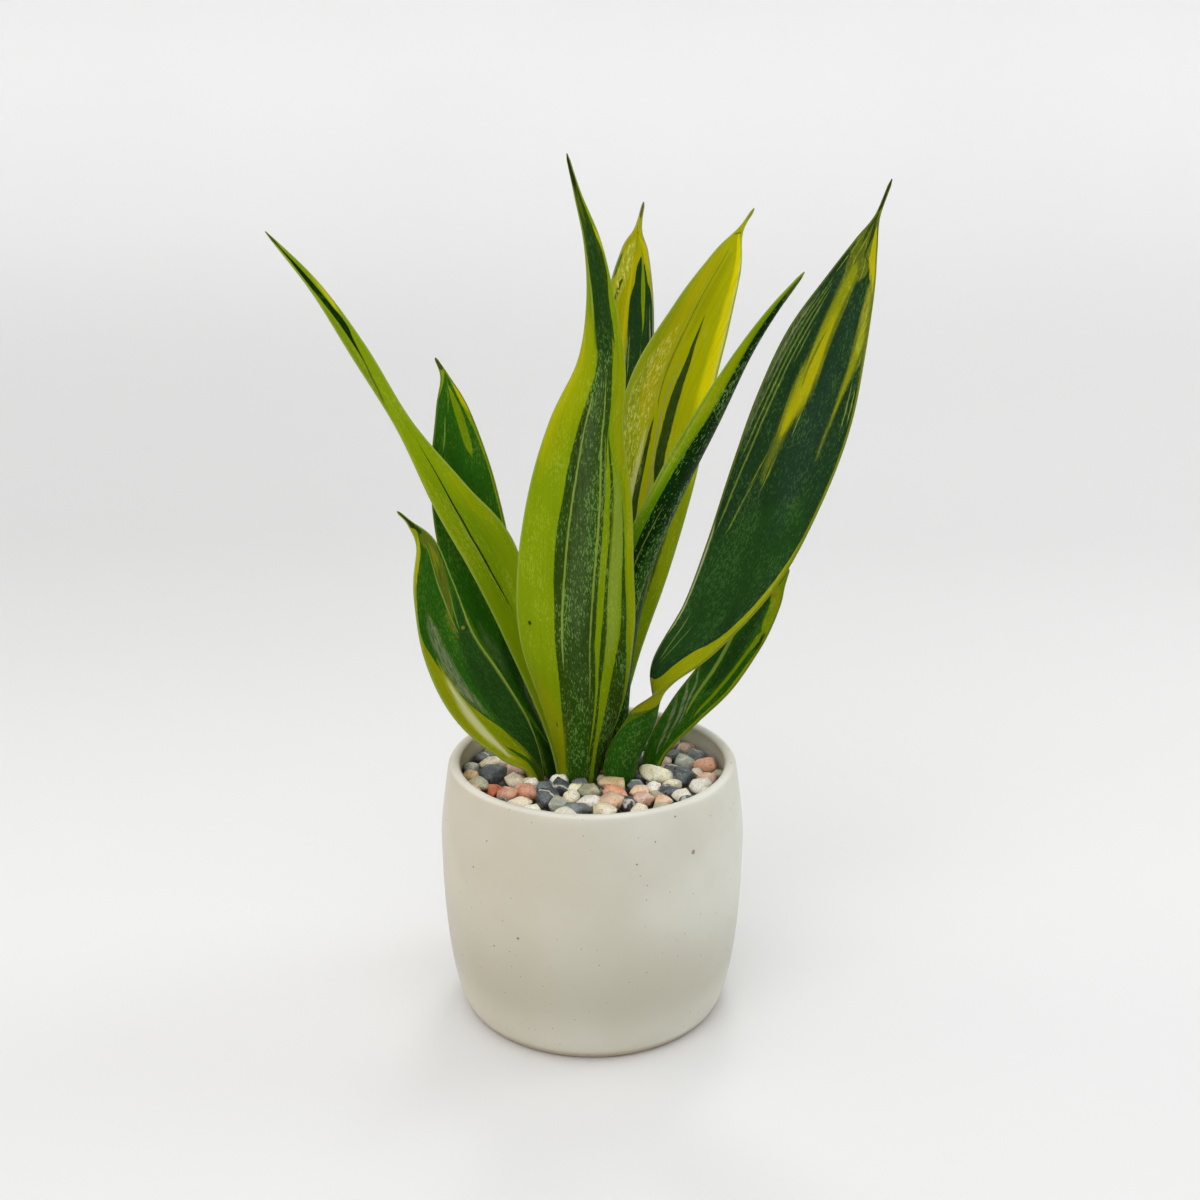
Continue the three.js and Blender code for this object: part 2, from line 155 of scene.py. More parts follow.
def coated(shader, weight, roughness):
    shader.inputs["Coat Weight"].default_value = weight
    shader.inputs["Coat Roughness"].default_value = roughness


# The bump is its strength, and its depth in millimetres
def finish(material, tree, shader, colour, roughness, height=None, bump=(0.3, 0.3)):
    tree.links.new(colour, shader.inputs["Base Color"])
    if isinstance(roughness, bpy.types.NodeSocket):
        tree.links.new(roughness, shader.inputs["Roughness"])
    else:
        shader.inputs["Roughness"].default_value = roughness
    if height is not None:
        values = {"Strength": bump[0], "Distance": bump[1] * mm, "Height": height}
        tree.links.new(addNode(tree, "ShaderNodeBump", values).outputs[0], shader.inputs["Normal"])
    return material


def newPiece(name, mesh):
    piece = bpy.data.objects.new(name, mesh)
    scene.collection.objects.link(piece)
    return piece


# Camera, at the photograph's viewing angle

view = {"place": (3.3, -650.0, 392.0), "pitch": 17.8, "angle": 40.0, "near": 10.0}
cameraData = bpy.data.cameras.new("camera")
cameraData.lens_unit = "FOV"
cameraData.angle = math.radians(view["angle"])
cameraData.clip_start = view["near"] * mm
camera = bpy.data.objects.new("camera", cameraData)
camera.location = Vector(view["place"]) * mm
camera.rotation_euler = (math.radians(90 - view["pitch"]), 0, 0)
scene.collection.objects.link(camera)
scene.camera = camera
scene.view_settings.view_transform = "Standard"


# Floor, backdrop and soft light. A sun is the side it shines from, its height, spread, strength and
# colour. The paper's material works in metres.

studio = {
    "front": 1500.0, "back": 900.0, "bend": 500.0, "bendSteps": 16, "height": 1600.0, "half": 2200.0,
    # Painted shade: the shade colour and its strengths at left and right. Painted light: the whiter wall
    # colour and the emission high up.
    "floorColour": "#e7e7e7", "wallColour": "#fdfdfd", "paintedShadeColour": "#c4c4c4",
    "grain": (3, 2, 0.5, 0.3, 0.7, 0.06, "#d9d9d9"), "roughness": 0.95, "paintedGlow": 0.04, "paintedShadeLeft": 0.42,
    "paintedShadeRight": 0.2, "sky": 0.47,
    "suns": {"topSun": (-15.0, 72.0, 60.0, 0.9, "#ffffff"), "leftSun": (-100.0, 28.0, 35.0, 0.3, "#fff4e4"),
             "rightSun": (105.0, 25.0, 30.0, 0.6, "#fbffff"), "frontSun": (-25.0, 35.0, 50.0, 0.6, "#ffffff"),
             "backSun": (170.0, 62.0, 12.0, 0.35, "#ffffff")},
}


def backdropMesh():
    mesh = bpy.data.meshes.new("backdrop")
    bend = studio["bend"]
    path = [(-studio["front"], 0.0)]
    for i in range(studio["bendSteps"] + 1):
        angle = i / studio["bendSteps"] * math.pi / 2
        path.append((studio["back"] + bend * math.sin(angle), bend * (1 - math.cos(angle))))
    path.append((studio["back"] + bend, studio["height"]))
    places = [(side * studio["half"] * mm, y * mm, z * mm) for y, z in path for side in (-1, 1)]
    faces = [(2 * i, 2 * i + 1, 2 * i + 3, 2 * i + 2) for i in range(len(path) - 1)]
    mesh.from_pydata(places, [], faces)
    mesh.shade_smooth()
    return mesh


# Painted shade makes the paper darker behind the plant, most at its left; painted light makes it brighter
# high up
def paperMaterial():
    material, tree, shader = newMaterial("paper")
    place = objectPlace(tree)
    x, y, z = splitVector(tree, place)
    # Painted light: the paper turns from the grey floor colour to the white wall colour with height
    high = ramp(tree, z, 0.05, 0.45)
    colour = mixColour(tree, high, paint(studio["floorColour"]), paint(studio["wallColour"]))
    # Painted shade behind the plant, strongest at its left
    paintedShade = times(tree, ramp(tree, y, 0.0, 0.5), ramp(tree, z, 0.0, 0.24, 1.0, 0.0))
    paintedShade = times(tree, paintedShade, ramp(tree, x, -0.5, 0.5, studio["paintedShadeLeft"], studio["paintedShadeRight"]))
    colour = tint(tree, paintedShade, colour, studio["paintedShadeColour"])
    # Painted light: the paper emits its own colour, more with height, though it is no lamp
    tree.links.new(colour, shader.inputs["Emission Color"])
    tree.links.new(ramp(tree, z, 0.1, 0.5, 0.0, studio["paintedGlow"]), shader.inputs["Emission Strength"])
    _, colour = spotLayer(tree, place, colour, *studio["grain"])
    return finish(material, tree, shader, colour, studio["roughness"])


def softSun(name, side, height, spread, strength, colour):
    data = bpy.data.lights.new(name, "SUN")
    data.angle = math.radians(spread)
    data.energy = strength
    data.color = paint(colour)[:3]
    lamp = bpy.data.objects.new(name, data)
    lamp.rotation_euler = (math.radians(90 - height), 0, math.radians(side))
    scene.collection.objects.link(lamp)


backdrop = newPiece("backdrop", backdropMesh())
backdrop.data.materials.append(paperMaterial())
for name, sun in studio["suns"].items():
    softSun(name, *sun)
scene.world = bpy.data.worlds.new("sky")
scene.world.use_nodes = True
sky = scene.world.node_tree.nodes["Background"].inputs
sky["Color"].default_value = (1.0, 1.0, 1.0, 1.0)
sky["Strength"].default_value = studio["sky"]
print("stage: camera, floor and light")


# Leaf blades. A row is the middle of the blade (x, y, z), its width, the compass direction that its inner
# face looks in, and the curl of its edges. Bands run across the blade, from u = -100 at one edge to u = 100
# at the other: a colour, and the line (row, u) where it gives way to the next one. Strokes go over the
# bands: colour, strength in percent, softness of the edge in u, and points of (row, middle u, half its
# width in u). A point without a width closes the stroke. Marks are small ovals: colour, row, u, half their
# height in rows and half their width in u.

# The silver colour is a grey bloom of the leaf skin, and in places painted sheen: the soft grey gloss on
# several blades
greens = {
    "lime": "#849c05", "citron": "#98a302", "sun": "#ccbe04", "gold": "#999e0b", "honey": "#b0ad02",
    "flame": "#efe203", "zest": "#bcbd02", "straw": "#bfc038", "olive": "#68731f", "fern": "#5c8608",
    "leafGreen": "#2e6412", "forest": "#234218", "spruce": "#203d1f", "pine": "#0b2c04", "moss": "#365010",
    "sage": "#3b5322", "slate": "#283f33", "silverAndSheen": "#959a7c", "pale": "#92a646", "cream": "#e2e2ac",
    "bark": "#2b280b", "amber": "#9a8518",
}

leafLeftLong = {
    "rows": [(-9, 11, 82, 9, -80, 50), (-15, 14, 117, 11, -78, 48), (-31, 20, 163, 17.5, -76, 42),
        (-44.3, 25, 197, 24.5, -72, 38), (-60.5, 29, 220.5, 18, -74, 36), (-79.5, 37, 249, 8, -76, 34),
        (-99, 48, 278.5, 8.3, -74, 34), (-118.5, 60, 304.5, 5.5, -74, 34), (-140, 70, 326.5, 1, -74, 20)],
    "slot": "yellow_blade", "rim": "pale", "flecks": 0.4,
    "bands": [
        ("lime", [(0, 105), (5.2, 105), (5.4, 70), (5.7, 25), (6, -12), (6.2, -38), (6.4, -68), (6.6, -52),
            (6.8, -38), (7.2, -24), (8, -20)]),
        ("pine", [(0, 105), (5.2, 105), (5.4, 80), (5.7, 45), (6, 14), (6.2, 15), (6.4, 22), (6.8, 56),
            (7.2, 82), (7.6, 62), (8, 60)]),
        ("lime", None)],
    "strokes": [
        ("fern", 25, 40, [(1.8, 10), (2.6, 20, 40), (3.4, 0, 40), (4.4, 30)]),
        ("citron", 60, 30, [(2.6, 100), (3.4, 100, 25), (4.6, 90, 30), (5.6, 60)]),
        ("citron", 60, 30, [(3, -80), (3.8, -80, 35), (4.6, -60)]),
        # Painted shade: the first and third olive strokes are the darker zone and its edge line above the
        # fold of the upper blade
        ("olive", 35, 30, [(5.2, 90), (5.6, 80, 25), (6.4, 80, 25), (6.8, 90)]),
        ("olive", 35, 15, [(4.6, -25), (5.1, -32, 10), (5.6, -40)]),
        ("olive", 75, 10, [(5.1, 85), (5.4, 65, 8), (5.8, 18, 12), (6.05, -10)]),
        ("sun", 85, 15, [(6.45, -75), (6.65, -80, 22), (6.9, -95, 30), (7.2, -100)]),
        ("fern", 50, 4, [(3.1, 84), (3.4, 83, 2), (4.8, 72, 2.5), (5.3, 20)]),
        ("fern", 35, 4, [(2.4, -13), (3, -13, 2), (4.2, -13)]),
        ("pale", 60, 3, [(2.2, 15), (2.8, 39, 2), (3.3, 40, 2.5), (3.9, 20, 2), (4.5, -4)]),
        ("bark", 95, 2, [(2.1, -3), (2.4, 15, 2.5), (2.8, 30, 4), (3.2, 32, 4.2), (3.6, 21.5, 4.5),
            (4, 8, 4.8), (4.4, -10, 3.8), (4.7, -24, 2), (4.9, -42)]),
        ("bark", 80, 30, [(7.6, 0), (7.9, 0, 120), (8, 0, 120)])],
}

leafLeftDark = {
    "rows": [(-17, 17, 82, 8, -45, 50), (-21, 20, 112.5, 13, -50, 45), (-32.5, 26, 139, 22.5, -58, 36),
        (-44.8, 33, 167.5, 29.5, -64, 28), (-52.5, 40, 197, 32.5, -71, 24), (-57.4, 45, 226.5, 28, -72, 24),
        (-60.6, 48, 253, 15.8, -65, 24), (-63, 50, 267, 4.3, -75, 20), (-67, 51, 275.5, 1, -75, 10)],
    "slot": "green_blade", "rim": "olive", "flecks": 0.45,
    "bands": [
        ("lime", [(0, -105), (3.6, -100), (4, -95), (5.2, -93), (5.6, -88), (6, -75), (6.4, -68),
            (6.7, -72), (7, -84), (8, -105)]),
        ("leafGreen", [(0, 105), (6.2, 105), (6.5, 90), (6.8, 65), (7, 38), (7.15, -20), (7.3, -80),
            (8, -105)]),
        ("lime", None)],
    "strokes": [
        ("forest", 75, 35, [(0, -10, 90), (0.9, 0, 80), (1.5, 0, 40), (2.3, -5, 35), (3, -20)]),
        ("lime", 85, 8, [(5.15, -52), (5.4, -47, 13), (5.7, -42, 18), (6, -37, 22), (6.3, -28, 20),
            (6.6, -20, 14), (6.85, -12)]),
        ("sun", 85, 12, [(5.8, -98), (6.2, -90, 16), (6.5, -87, 16), (6.8, -92)]),
        ("fern", 70, 6, [(5.9, 28), (6.1, 20, 6), (6.5, 10, 5), (6.7, 8)]),
        ("pale", 75, 3, [(5.3, 58), (5.5, 52, 3.5), (5.8, 48, 3), (6, 46)]),
        ("fern", 85, 12, [(0.9, 0), (1, 20, 10), (1.2, 50, 12), (1.5, 70, 13), (2, 78, 10), (2.5, 82, 7),
            (3, 86, 5), (3.7, 95)]),
        # Painted sheen: the grey gloss patch low on the blade, and the faint pale sheen above it
        ("silverAndSheen", 50, 20, [(0.9, -10), (1.2, -6, 16), (1.7, -6, 14), (2, -10)]),
        ("silverAndSheen", 25, 30, [(2, 45), (2.5, 50, 20), (3, 55)]),
        ("bark", 85, 20, [(7.25, 0), (7.5, 0, 130), (8, 0, 130)])],
}

leafLeftLow = {
    "rows": [(-22, 4, 82, 8, -5, 50), (-26.5, 2, 106.5, 14, -18, 44), (-36, -1, 122, 24.5, -38, 36),
        (-50.1, -5, 143, 30.5, -48, 32), (-60, -10, 167, 25.2, -58.8, 28), (-64.8, -15, 192, 20, -55, 26),
        (-66, -18, 211.5, 9.2, -67, 20), (-71.8, -20, 221.4, 2.5, -60, 10),
        (-76.6, -21, 226.7, 1, -60, 10)],
    "slot": "green_blade", "rim": "pale", "flecks": 0.4,
    "bands": [
        ("pale", [(0, -100), (1.8, -95), (3, -93), (4.2, -95), (4.6, -100), (5, -105), (8, -105)]),
        ("leafGreen", [(0, -100), (0.8, -86), (1, -58), (1.2, -40), (1.5, -24), (2, -10), (2.5, 12),
            (3, 32), (3.5, 52), (4, 74), (4.3, 92), (4.6, 100), (5, 93), (5.4, 86), (5.8, 77), (6.1, 72),
            (6.3, 60), (6.5, 35), (6.7, 10), (8, 30)]),
        ("gold", None)],
    "strokes": [
        ("forest", 80, 30, [(0, -60, 90), (1.5, -60, 60), (3, -60, 42), (4, -75, 30), (5, -90)]),
        ("olive", 90, 10, [(3.9, -50), (4.3, -45, 5), (4.6, -54, 13), (5, -57, 22), (5.4, -53, 32),
            (5.8, -50, 37), (6.05, -30, 60), (6.25, -22, 75), (6.45, -50, 50), (6.6, -90, 15),
            (6.8, -100)]),
        ("olive", 75, 3, [(4.1, -42), (4.3, -36, 4), (4.7, -30)]),
        ("gold", 50, 20, [(5.2, -50), (5.7, -45, 20), (6.2, -30)]),
        ("moss", 60, 6, [(5.1, -50), (5.4, -52, 5), (5.8, -45)]),
        ("pale", 85, 3, [(3.9, -56), (4.5, -46, 2), (5, -35, 3), (5.5, -21, 2.5), (6, 3, 2), (6.3, 30)]),
        ("pale", 60, 3, [(4, -62), (4.5, -66, 2), (5.2, -74)]),
        ("fern", 60, 4, [(5.4, 20), (5.8, 13, 3.5), (6.2, 20)]),
        ("sun", 80, 12, [(5, 102), (5.6, 96, 14), (6, 88, 14), (6.3, 80, 12), (6.5, 70)]),
        ("lime", 60, 15, [(0.8, 10), (1.4, -5, 16), (2.2, 20, 18), (3, 45)]),
        ("leafGreen", 95, 5, [(0.7, 0), (1, 12, 30), (1.2, 20, 22), (1.4, 28, 15), (1.6, 33, 10),
            (1.8, 37, 6), (2.05, 45)]),
        ("fern", 80, 5, [(1.4, 42), (1.7, 50, 3), (1.9, 58, 2), (2.05, 62)]),
        # Painted sheen: a soft grey gloss over the green
        ("silverAndSheen", 75, 20, [(2.5, 5), (2.9, 12, 10), (3.3, 24, 16), (3.8, 30, 20), (4.3, 38, 20),
            (4.8, 50)]),
        # Painted highlight on the curled margin: a straw halo round a cream core
        ("straw", 80, 20, [(1.4, 72), (1.8, 68, 12), (2.4, 62, 17), (3, 56, 16), (3.5, 54, 12), (4, 58)]),
        ("cream", 90, 14, [(1.7, 72), (2, 68, 8), (2.4, 62, 12), (2.8, 56, 13), (3.2, 54, 9), (3.7, 54)]),
        ("forest", 85, 10, [(6.4, -30), (6.6, -30, 45), (6.8, -30)]),
        ("bark", 90, 30, [(6.6, 0), (6.9, 0, 100), (7.2, 0, 130), (8, 0, 130)])],
    "marks": [("amber", 4.2, -77, 0.035, 7)],
}

leafFrontWide = {
    "rows": [(-7, 3.5, 82, 14, 90, 62), (-5.5, 1, 106.5, 23.5, 90, 55), (-4.5, -4, 139, 41.5, 90, 40),
        (-6.3, -9, 169, 51.5, 90, 32), (-6.6, -13, 199, 49.8, 90, 28), (-5, -16, 231, 43.3, 86, 28),
        (-2.7, -18, 257, 32.3, 85, 32), (2.6, -19, 282.5, 22, 75, 40), (2.5, -19, 307, 14, 66, 45),
        (-0.2, -19, 329.5, 8.8, 60, 45), (-5.2, -20, 348.1, 3.5, 60, 40), (-8.9, -22, 363, 1, 60, 10)],
    "slot": "green_blade", "rim": "pale", "flecks": 1.0, "calmFrom": 6.8,
    "bands": [
        ("lime", [(0, -46), (1, -44), (1.5, -43), (2, -40), (2.5, -36), (3, -34), (3.5, -33), (4, -35),
            (4.5, -34), (5, -29), (5.5, -25.5), (6, -19), (6.5, -14), (7, -6), (7.2, -5), (7.5, -10),
            (8, -19), (8.3, -27), (8.6, -38), (9, -46), (9.5, -42), (10, -33), (11, -30)]),
        ("moss", [(0, 20), (1.3, 22), (1.6, 23), (2, 25), (2.5, 27), (3, 28.5), (3.5, 33), (4, 38),
            (4.5, 43), (5, 47), (5.4, 51), (6, 56), (6.3, 58), (11, 105)]),
        ("lime", [(0, 20), (1.3, 24), (1.6, 27), (2, 29), (2.5, 33), (3, 38), (3.5, 44), (4, 49), (4.5, 55),
            (5, 57), (5.4, 59), (6, 58), (6.3, 58), (11, 105)]),
        ("moss", [(0, 40), (1.3, 34), (1.6, 34), (2, 34), (2.5, 40.5), (3, 47), (3.5, 50), (4, 55),
            (4.5, 60), (5, 64), (5.5, 65), (6, 60), (11, 105)]),
        ("lime", [(0, 60), (1, 50), (1.3, 46), (1.6, 47), (2, 51), (2.5, 61), (3, 71), (3.5, 74), (4, 78),
            (4.5, 80), (5, 80), (5.5, 70), (6, 60), (11, 105)]),
        ("moss", [(0, 105), (2, 92), (2.5, 88), (3, 83), (3.5, 83), (4, 83), (4.5, 83), (5, 80), (5.5, 70),
            (6, 60), (6.5, 56), (7, 50), (7.5, 66), (8, 66), (8.3, 75), (8.6, 86), (8.9, 85), (9.2, 72),
            (9.6, 72), (10, 80), (11, 105)]),
        ("lime", [(0, 105), (2.5, 97), (3, 90), (4, 88), (5, 88), (5.5, 82), (6, 78), (6.5, 74), (7, 76),
            (7.5, 81), (8, 100), (11, 105)]),
        ("citron", None)],
    "strokes": [
        ("citron", 85, 35, [(5, -80), (5.8, -72, 30), (7, -55, 40), (7.6, -65, 40), (8.4, -100)]),
        ("gold", 80, 30, [(0, -75, 30), (1, -70, 30), (1.8, -72, 25), (2.6, -80)]),
        ("sun", 35, 25, [(5.3, -90), (6.2, -92, 15), (7.2, -85, 20), (7.8, -80)]),
        ("leafGreen", 50, 20, [(0, -20, 40), (1.2, -10, 35), (2.2, 0)]),
        ("sage", 80, 20, [(1.8, 0), (2.6, 2, 17), (4, 5, 17), (5, 6, 19), (6, 15, 20), (7, 20, 18),
            (7.6, 20)]),
        # Painted sheen: a faint grey gloss along the middle stripe
        ("silverAndSheen", 12, 20, [(2.8, 2), (3.6, 3, 13), (5, 8, 15), (6.5, 12, 12), (7, 20)]),
        ("forest", 85, 20, [(7, 25), (7.4, 20, 30), (8, 20, 40), (8.6, 15, 40), (9.2, 20, 30), (9.6, 20)]),
        ("bark", 55, 2.5, [(4.6, -22), (5.4, -14, 2), (6.2, -9, 3), (6.8, -5)]),
        ("pale", 80, 1.5, [(2.4, -25), (2.8, -23.5, 1.4), (3.5, -20, 1.8), (4, -17, 1.8), (4.5, -14.5, 1.8),
            (5, -10.5, 1.8), (5.5, -6, 1.8), (6, -2.5, 1.6), (6.5, -0.5, 1.5), (6.8, 0)]),
        ("pale", 80, 1.5, [(1.8, 15), (2.2, 16, 0.8), (2.6, 18, 1), (3, 20.5, 1.2), (3.5, 25, 1.5),
            (4, 30, 1.8), (4.5, 35, 2), (5, 38, 2), (5.5, 40, 2), (6.2, 42, 2), (6.7, 34, 1.4), (7.3, 25)]),
        ("pale", 50, 1.5, [(4.7, 45), (5.3, 49, 1.2), (5.8, 51, 1.4), (6.2, 52)]),
        ("pale", 55, 10, [(2.4, 50), (3, 58, 8), (4, 66, 9), (4.8, 72, 8), (5.6, 72)]),
        ("gold", 70, 10, [(5.2, 85), (5.6, 84, 6), (6.5, 72, 8), (7.2, 62, 7), (7.6, 60)]),
        ("olive", 55, 10, [(7.6, -45), (8.2, -42, 8), (9, -62, 10), (9.4, -60)]),
        ("pale", 60, 6, [(7.6, -20), (8, -27, 5), (8.5, -45, 5), (9, -55)]),
        ("olive", 70, 30, [(9.3, 10), (10, 10, 30), (10.7, 5)]),
        ("sun", 85, 8, [(8.8, 105), (8.95, 98, 9), (9.2, 85, 8), (9.4, 75)]),
        ("bark", 85, 30, [(9.9, 0), (10.3, 10, 70), (10.7, 0, 110), (11, 0, 140)])],
    "marks": [("bark", 3.21, -76, 0.035, 3), ("bark", 1.645, -58, 0.03, 2.2)],
}

leafBackUpright = {
    "rows": [(5, 22.5, 82, 10, -90, 50), (2.5, 30, 115, 16.5, -90, 45), (5, 39, 152, 23.5, -90, 36),
        (9, 48, 190.5, 28, -90, 30), (12.4, 56, 229, 28, -90, 26), (15.1, 63, 268, 23.8, -90, 24),
        (16.4, 68, 297.5, 20.8, -92, 22), (18.2, 71, 318, 12.2, -88, 20), (19.7, 72, 327.5, 3.5, -90, 10),
        (22, 73, 338.7, 1, -90, 10)],
    "slot": "green_blade", "rim": "silverAndSheen", "flecks": 0.3,
    "bands": [
        ("honey", [(0, -105), (5.6, -105), (6, -98), (6.2, -93), (6.35, -82), (6.6, -76), (6.75, -66),
            (6.9, -46), (7.2, 10), (7.5, 80), (9, 105)]),
        ("forest", [(0, 20), (4.8, 14), (5.2, 10), (5.7, 5), (6, 2), (6.15, -5), (6.3, -15), (6.6, -22),
            (6.75, -34), (6.9, -48), (9, -105)]),
        ("honey", None)],
    "strokes": [
        ("slate", 30, 15, [(4.8, -75), (5.4, -75, 12), (6.2, -75)]),
        ("slate", 35, 20, [(4.6, -20), (5.6, -20, 15), (6.4, -25)]),
        # Painted highlight: the pale straw patch high on the blade, over the crinkle
        ("straw", 90, 20, [(5.8, 80), (6.3, 60, 28), (6.8, 45, 38), (7.2, 30, 35), (7.6, 20)]),
        ("sun", 95, 5, [(4.6, 38), (5.2, 26, 6), (6, 12, 7), (6.6, 0, 7), (7, -10)]),
        ("sun", 80, 15, [(6.4, -100), (6.9, -95, 25), (7.4, -70, 20), (7.9, -30)]),
        ("lime", 95, 4, [(5.4, -56), (5.7, -59, 4.5), (6, -58, 8.5), (6.3, -59, 10), (6.6, -60, 7),
            (6.9, -60, 5), (7.1, -60)]),
        ("pale", 70, 2, [(3, -50), (4.6, -50, 3), (5.6, -50)]),
        ("silverAndSheen", 80, 3, [(3.6, -88), (5.2, -88, 3.5), (6.2, -87)]),
        ("silverAndSheen", 70, 3, [(3, 14), (4.9, 12, 3.5), (5.3, 7, 3), (5.7, 0)]),
        ("pale", 50, 3, [(4.8, 0), (5.2, -2, 3), (5.6, -5)]),
        ("forest", 90, 6, [(5.9, 75), (6.05, 67, 6), (6.3, 56, 7), (6.45, 46)]),
        ("leafGreen", 80, 8, [(6.3, 100), (6.5, 97, 10), (6.8, 92, 8), (7, 90)]),
        ("gold", 60, 12, [(6.9, -30), (7.2, -25, 15), (7.7, -10, 20), (8.1, 10)]),
        ("bark", 60, 6, [(7.7, -10), (7.85, 10, 10), (8.1, 50, 10), (8.2, 70)]),
        ("bark", 70, 30, [(8.3, 0), (8.6, 0, 120), (9, 0, 120)])],
    # A crinkle is a path of wrinkles whose crests get a painted highlight
    "crinkle": [(5.9, 60), (6.4, 50, 30), (7, 38, 34), (7.4, 30)],
}

leafBackYellow = {
    "rows": [(4, 18, 82, 10, -80, 50), (3.6, 22, 112.5, 16, -74, 45), (8, 28, 150, 25.5, -66, 42),
        (15.2, 35, 189, 38, -63, 40), (22.5, 42, 227, 45.3, -62, 40), (28.8, 48, 260.5, 46.5, -64, 40),
        (43.1, 54, 291.5, 33, -64, 38), (55.3, 59, 314, 18, -63, 30), (62.3, 61, 327.3, 3.4, -70, 10),
        (68.3, 62, 336.8, 1, -70, 10)],
    "slot": "yellow_blade", "rim": "pale", "flecks": 0.4,
    "bands": [
        ("zest", [(0, 105), (9, 105)]),
        ("zest", None)],
    "strokes": [
        ("fern", 75, 30, [(0, 0, 130), (1.8, -30, 90), (2.6, -50, 50), (3.3, -70)]),
        ("lime", 70, 25, [(1.6, -80), (2.4, -82, 30), (3.6, -82, 25), (4.4, -80)]),
        ("lime", 50, 30, [(3.4, 60), (4.6, 70, 30), (5.8, 90, 30), (6.6, 100)]),
        ("sun", 55, 25, [(4.4, 30), (5.2, 35, 25), (6.2, 50, 25), (7, 60, 20), (7.6, 50)]),
        ("gold", 45, 15, [(5.6, -5), (6.4, -8, 14), (7.2, -20, 12), (7.7, -40)]),
        ("flame", 100, 12, [(3.9, -98), (4.7, -88, 12), (6, -84, 14), (7, -82, 16), (7.5, -70, 22),
            (7.8, -40, 30), (8.1, 0)]),
        ("cream", 35, 5, [(4.8, -94), (6, -95, 3), (7.2, -95, 4), (7.5, -94)]),
        ("pale", 80, 3, [(4.3, 90), (4.6, 84, 3.5), (5.1, 73, 2), (5.4, 68)]),
        ("straw", 85, 3, [(4.6, 0), (5, 8, 2.5), (5.5, 19, 3), (6, 24.5, 3), (6.5, 27, 2.5), (7.1, 30, 2),
            (7.4, 30)]),
        ("olive", 80, 3, [(4.6, -4), (5, 3, 1.5), (5.5, 10, 2), (6, 14, 2), (6.5, 18, 2), (7.2, 19, 2),
            (7.5, 18)]),
        ("cream", 80, 4, [(2.6, 36), (3.4, 34, 5), (4, 30, 6), (4.3, 24, 4), (4.7, 16)]),
        ("forest", 95, 2.5, [(2.6, 12, 6), (3.4, 14, 9), (3.8, 17, 8.5), (4.2, 12, 5.5), (4.5, 7, 3.5),
            (4.8, 3)]),
        ("silverAndSheen", 75, 3, [(0, -10, 3), (3.6, -12, 3.5), (4.4, -10, 2.2), (5.3, -16, 1.2), (5.6, -20)]),
        ("forest", 95, 2.5, [(0, -30, 10), (3.4, -33, 12), (3.8, -31, 8.5), (4.2, -23.5, 10),
            (4.6, -27.5, 9.5), (5, -30.5, 9), (5.4, -31, 6.5), (5.8, -26, 3.5), (6.3, -23)]),
        ("forest", 80, 6, [(2.2, -66), (3.2, -66, 6), (3.8, -63, 12), (4.3, -60, 3), (4.9, -58)]),
        ("leafGreen", 60, 2, [(3.9, 44), (4.1, 43, 2), (4.3, 42)]),
        ("bark", 60, 6, [(7.75, 90), (7.9, 60, 30), (7.95, 0, 40), (8.05, -20)]),
        ("amber", 60, 30, [(8.2, 0), (8.6, 0, 100), (9, 0, 120)])],
    # A crinkle is a path of wrinkles whose crests get a painted highlight
    "crinkle": [(3.5, 50), (4, 55, 36), (4.8, 50, 36), (5.4, 45, 25), (6, 40)],
}

leafRightSlim = {
    "rows": [(10.5, 11.5, 82, 8, 125, 50), (11.5, 12, 119, 13, 126, 44), (13.6, 9, 159, 18.6, 128, 36),
        (19.9, 7, 195, 21.1, 127, 34), (34.5, 5, 230, 20.4, 132, 34), (48.1, 3, 258, 17.8, 134, 34),
        (60.7, 1, 284, 10.5, 134, 34), (71.7, -1, 302.4, 6.3, 138, 32), (82.5, -3, 317.8, 1.5, 138, 10)],
    "slot": "green_blade", "rim": "pale", "flecks": 1.1,
    "bands": [
        ("fern", [(0, -50), (2.6, -56), (3, -57), (3.5, -60), (4, -57), (4.5, -49), (5, -38), (5.5, -33),
            (6, -37), (6.5, -45), (7, -50), (7.4, -58), (7.7, -40), (8, 10)]),
        ("pine", None)],
    "strokes": [
        ("lime", 90, 20, [(3.2, -90), (3.8, -88, 10), (4.5, -80, 17), (5.2, -66, 28), (5.8, -66, 28),
            (6.4, -75, 25), (7.2, -90, 25), (8, -90, 20)]),
        ("citron", 75, 25, [(4.6, -90), (5.2, -75, 22), (6, -72, 22), (6.6, -85)]),
        ("pale", 70, 5, [(3.3, -97), (4, -88, 3.5), (4.5, -83, 3.5), (5.2, -85, 3), (5.6, -95)]),
        ("leafGreen", 50, 30, [(0, 0, 60), (2, 10, 50), (3, 10, 20), (3.6, 10)]),
        ("pale", 60, 2.5, [(2.8, -38), (3.2, -35, 2), (3.5, -30, 2), (3.9, -26)]),
        ("pale", 60, 2.5, [(1.5, 0), (2.3, 12, 2), (2.6, 25, 2.5), (3, 50, 1.5), (3.3, 70)]),
        ("lime", 80, 10, [(0, 100, 30), (2.4, 98, 12), (3, 102, 6), (3.6, 105)]),
        ("olive", 60, 20, [(7.2, 0), (7.6, 0, 100), (8, 0, 100)])],
}

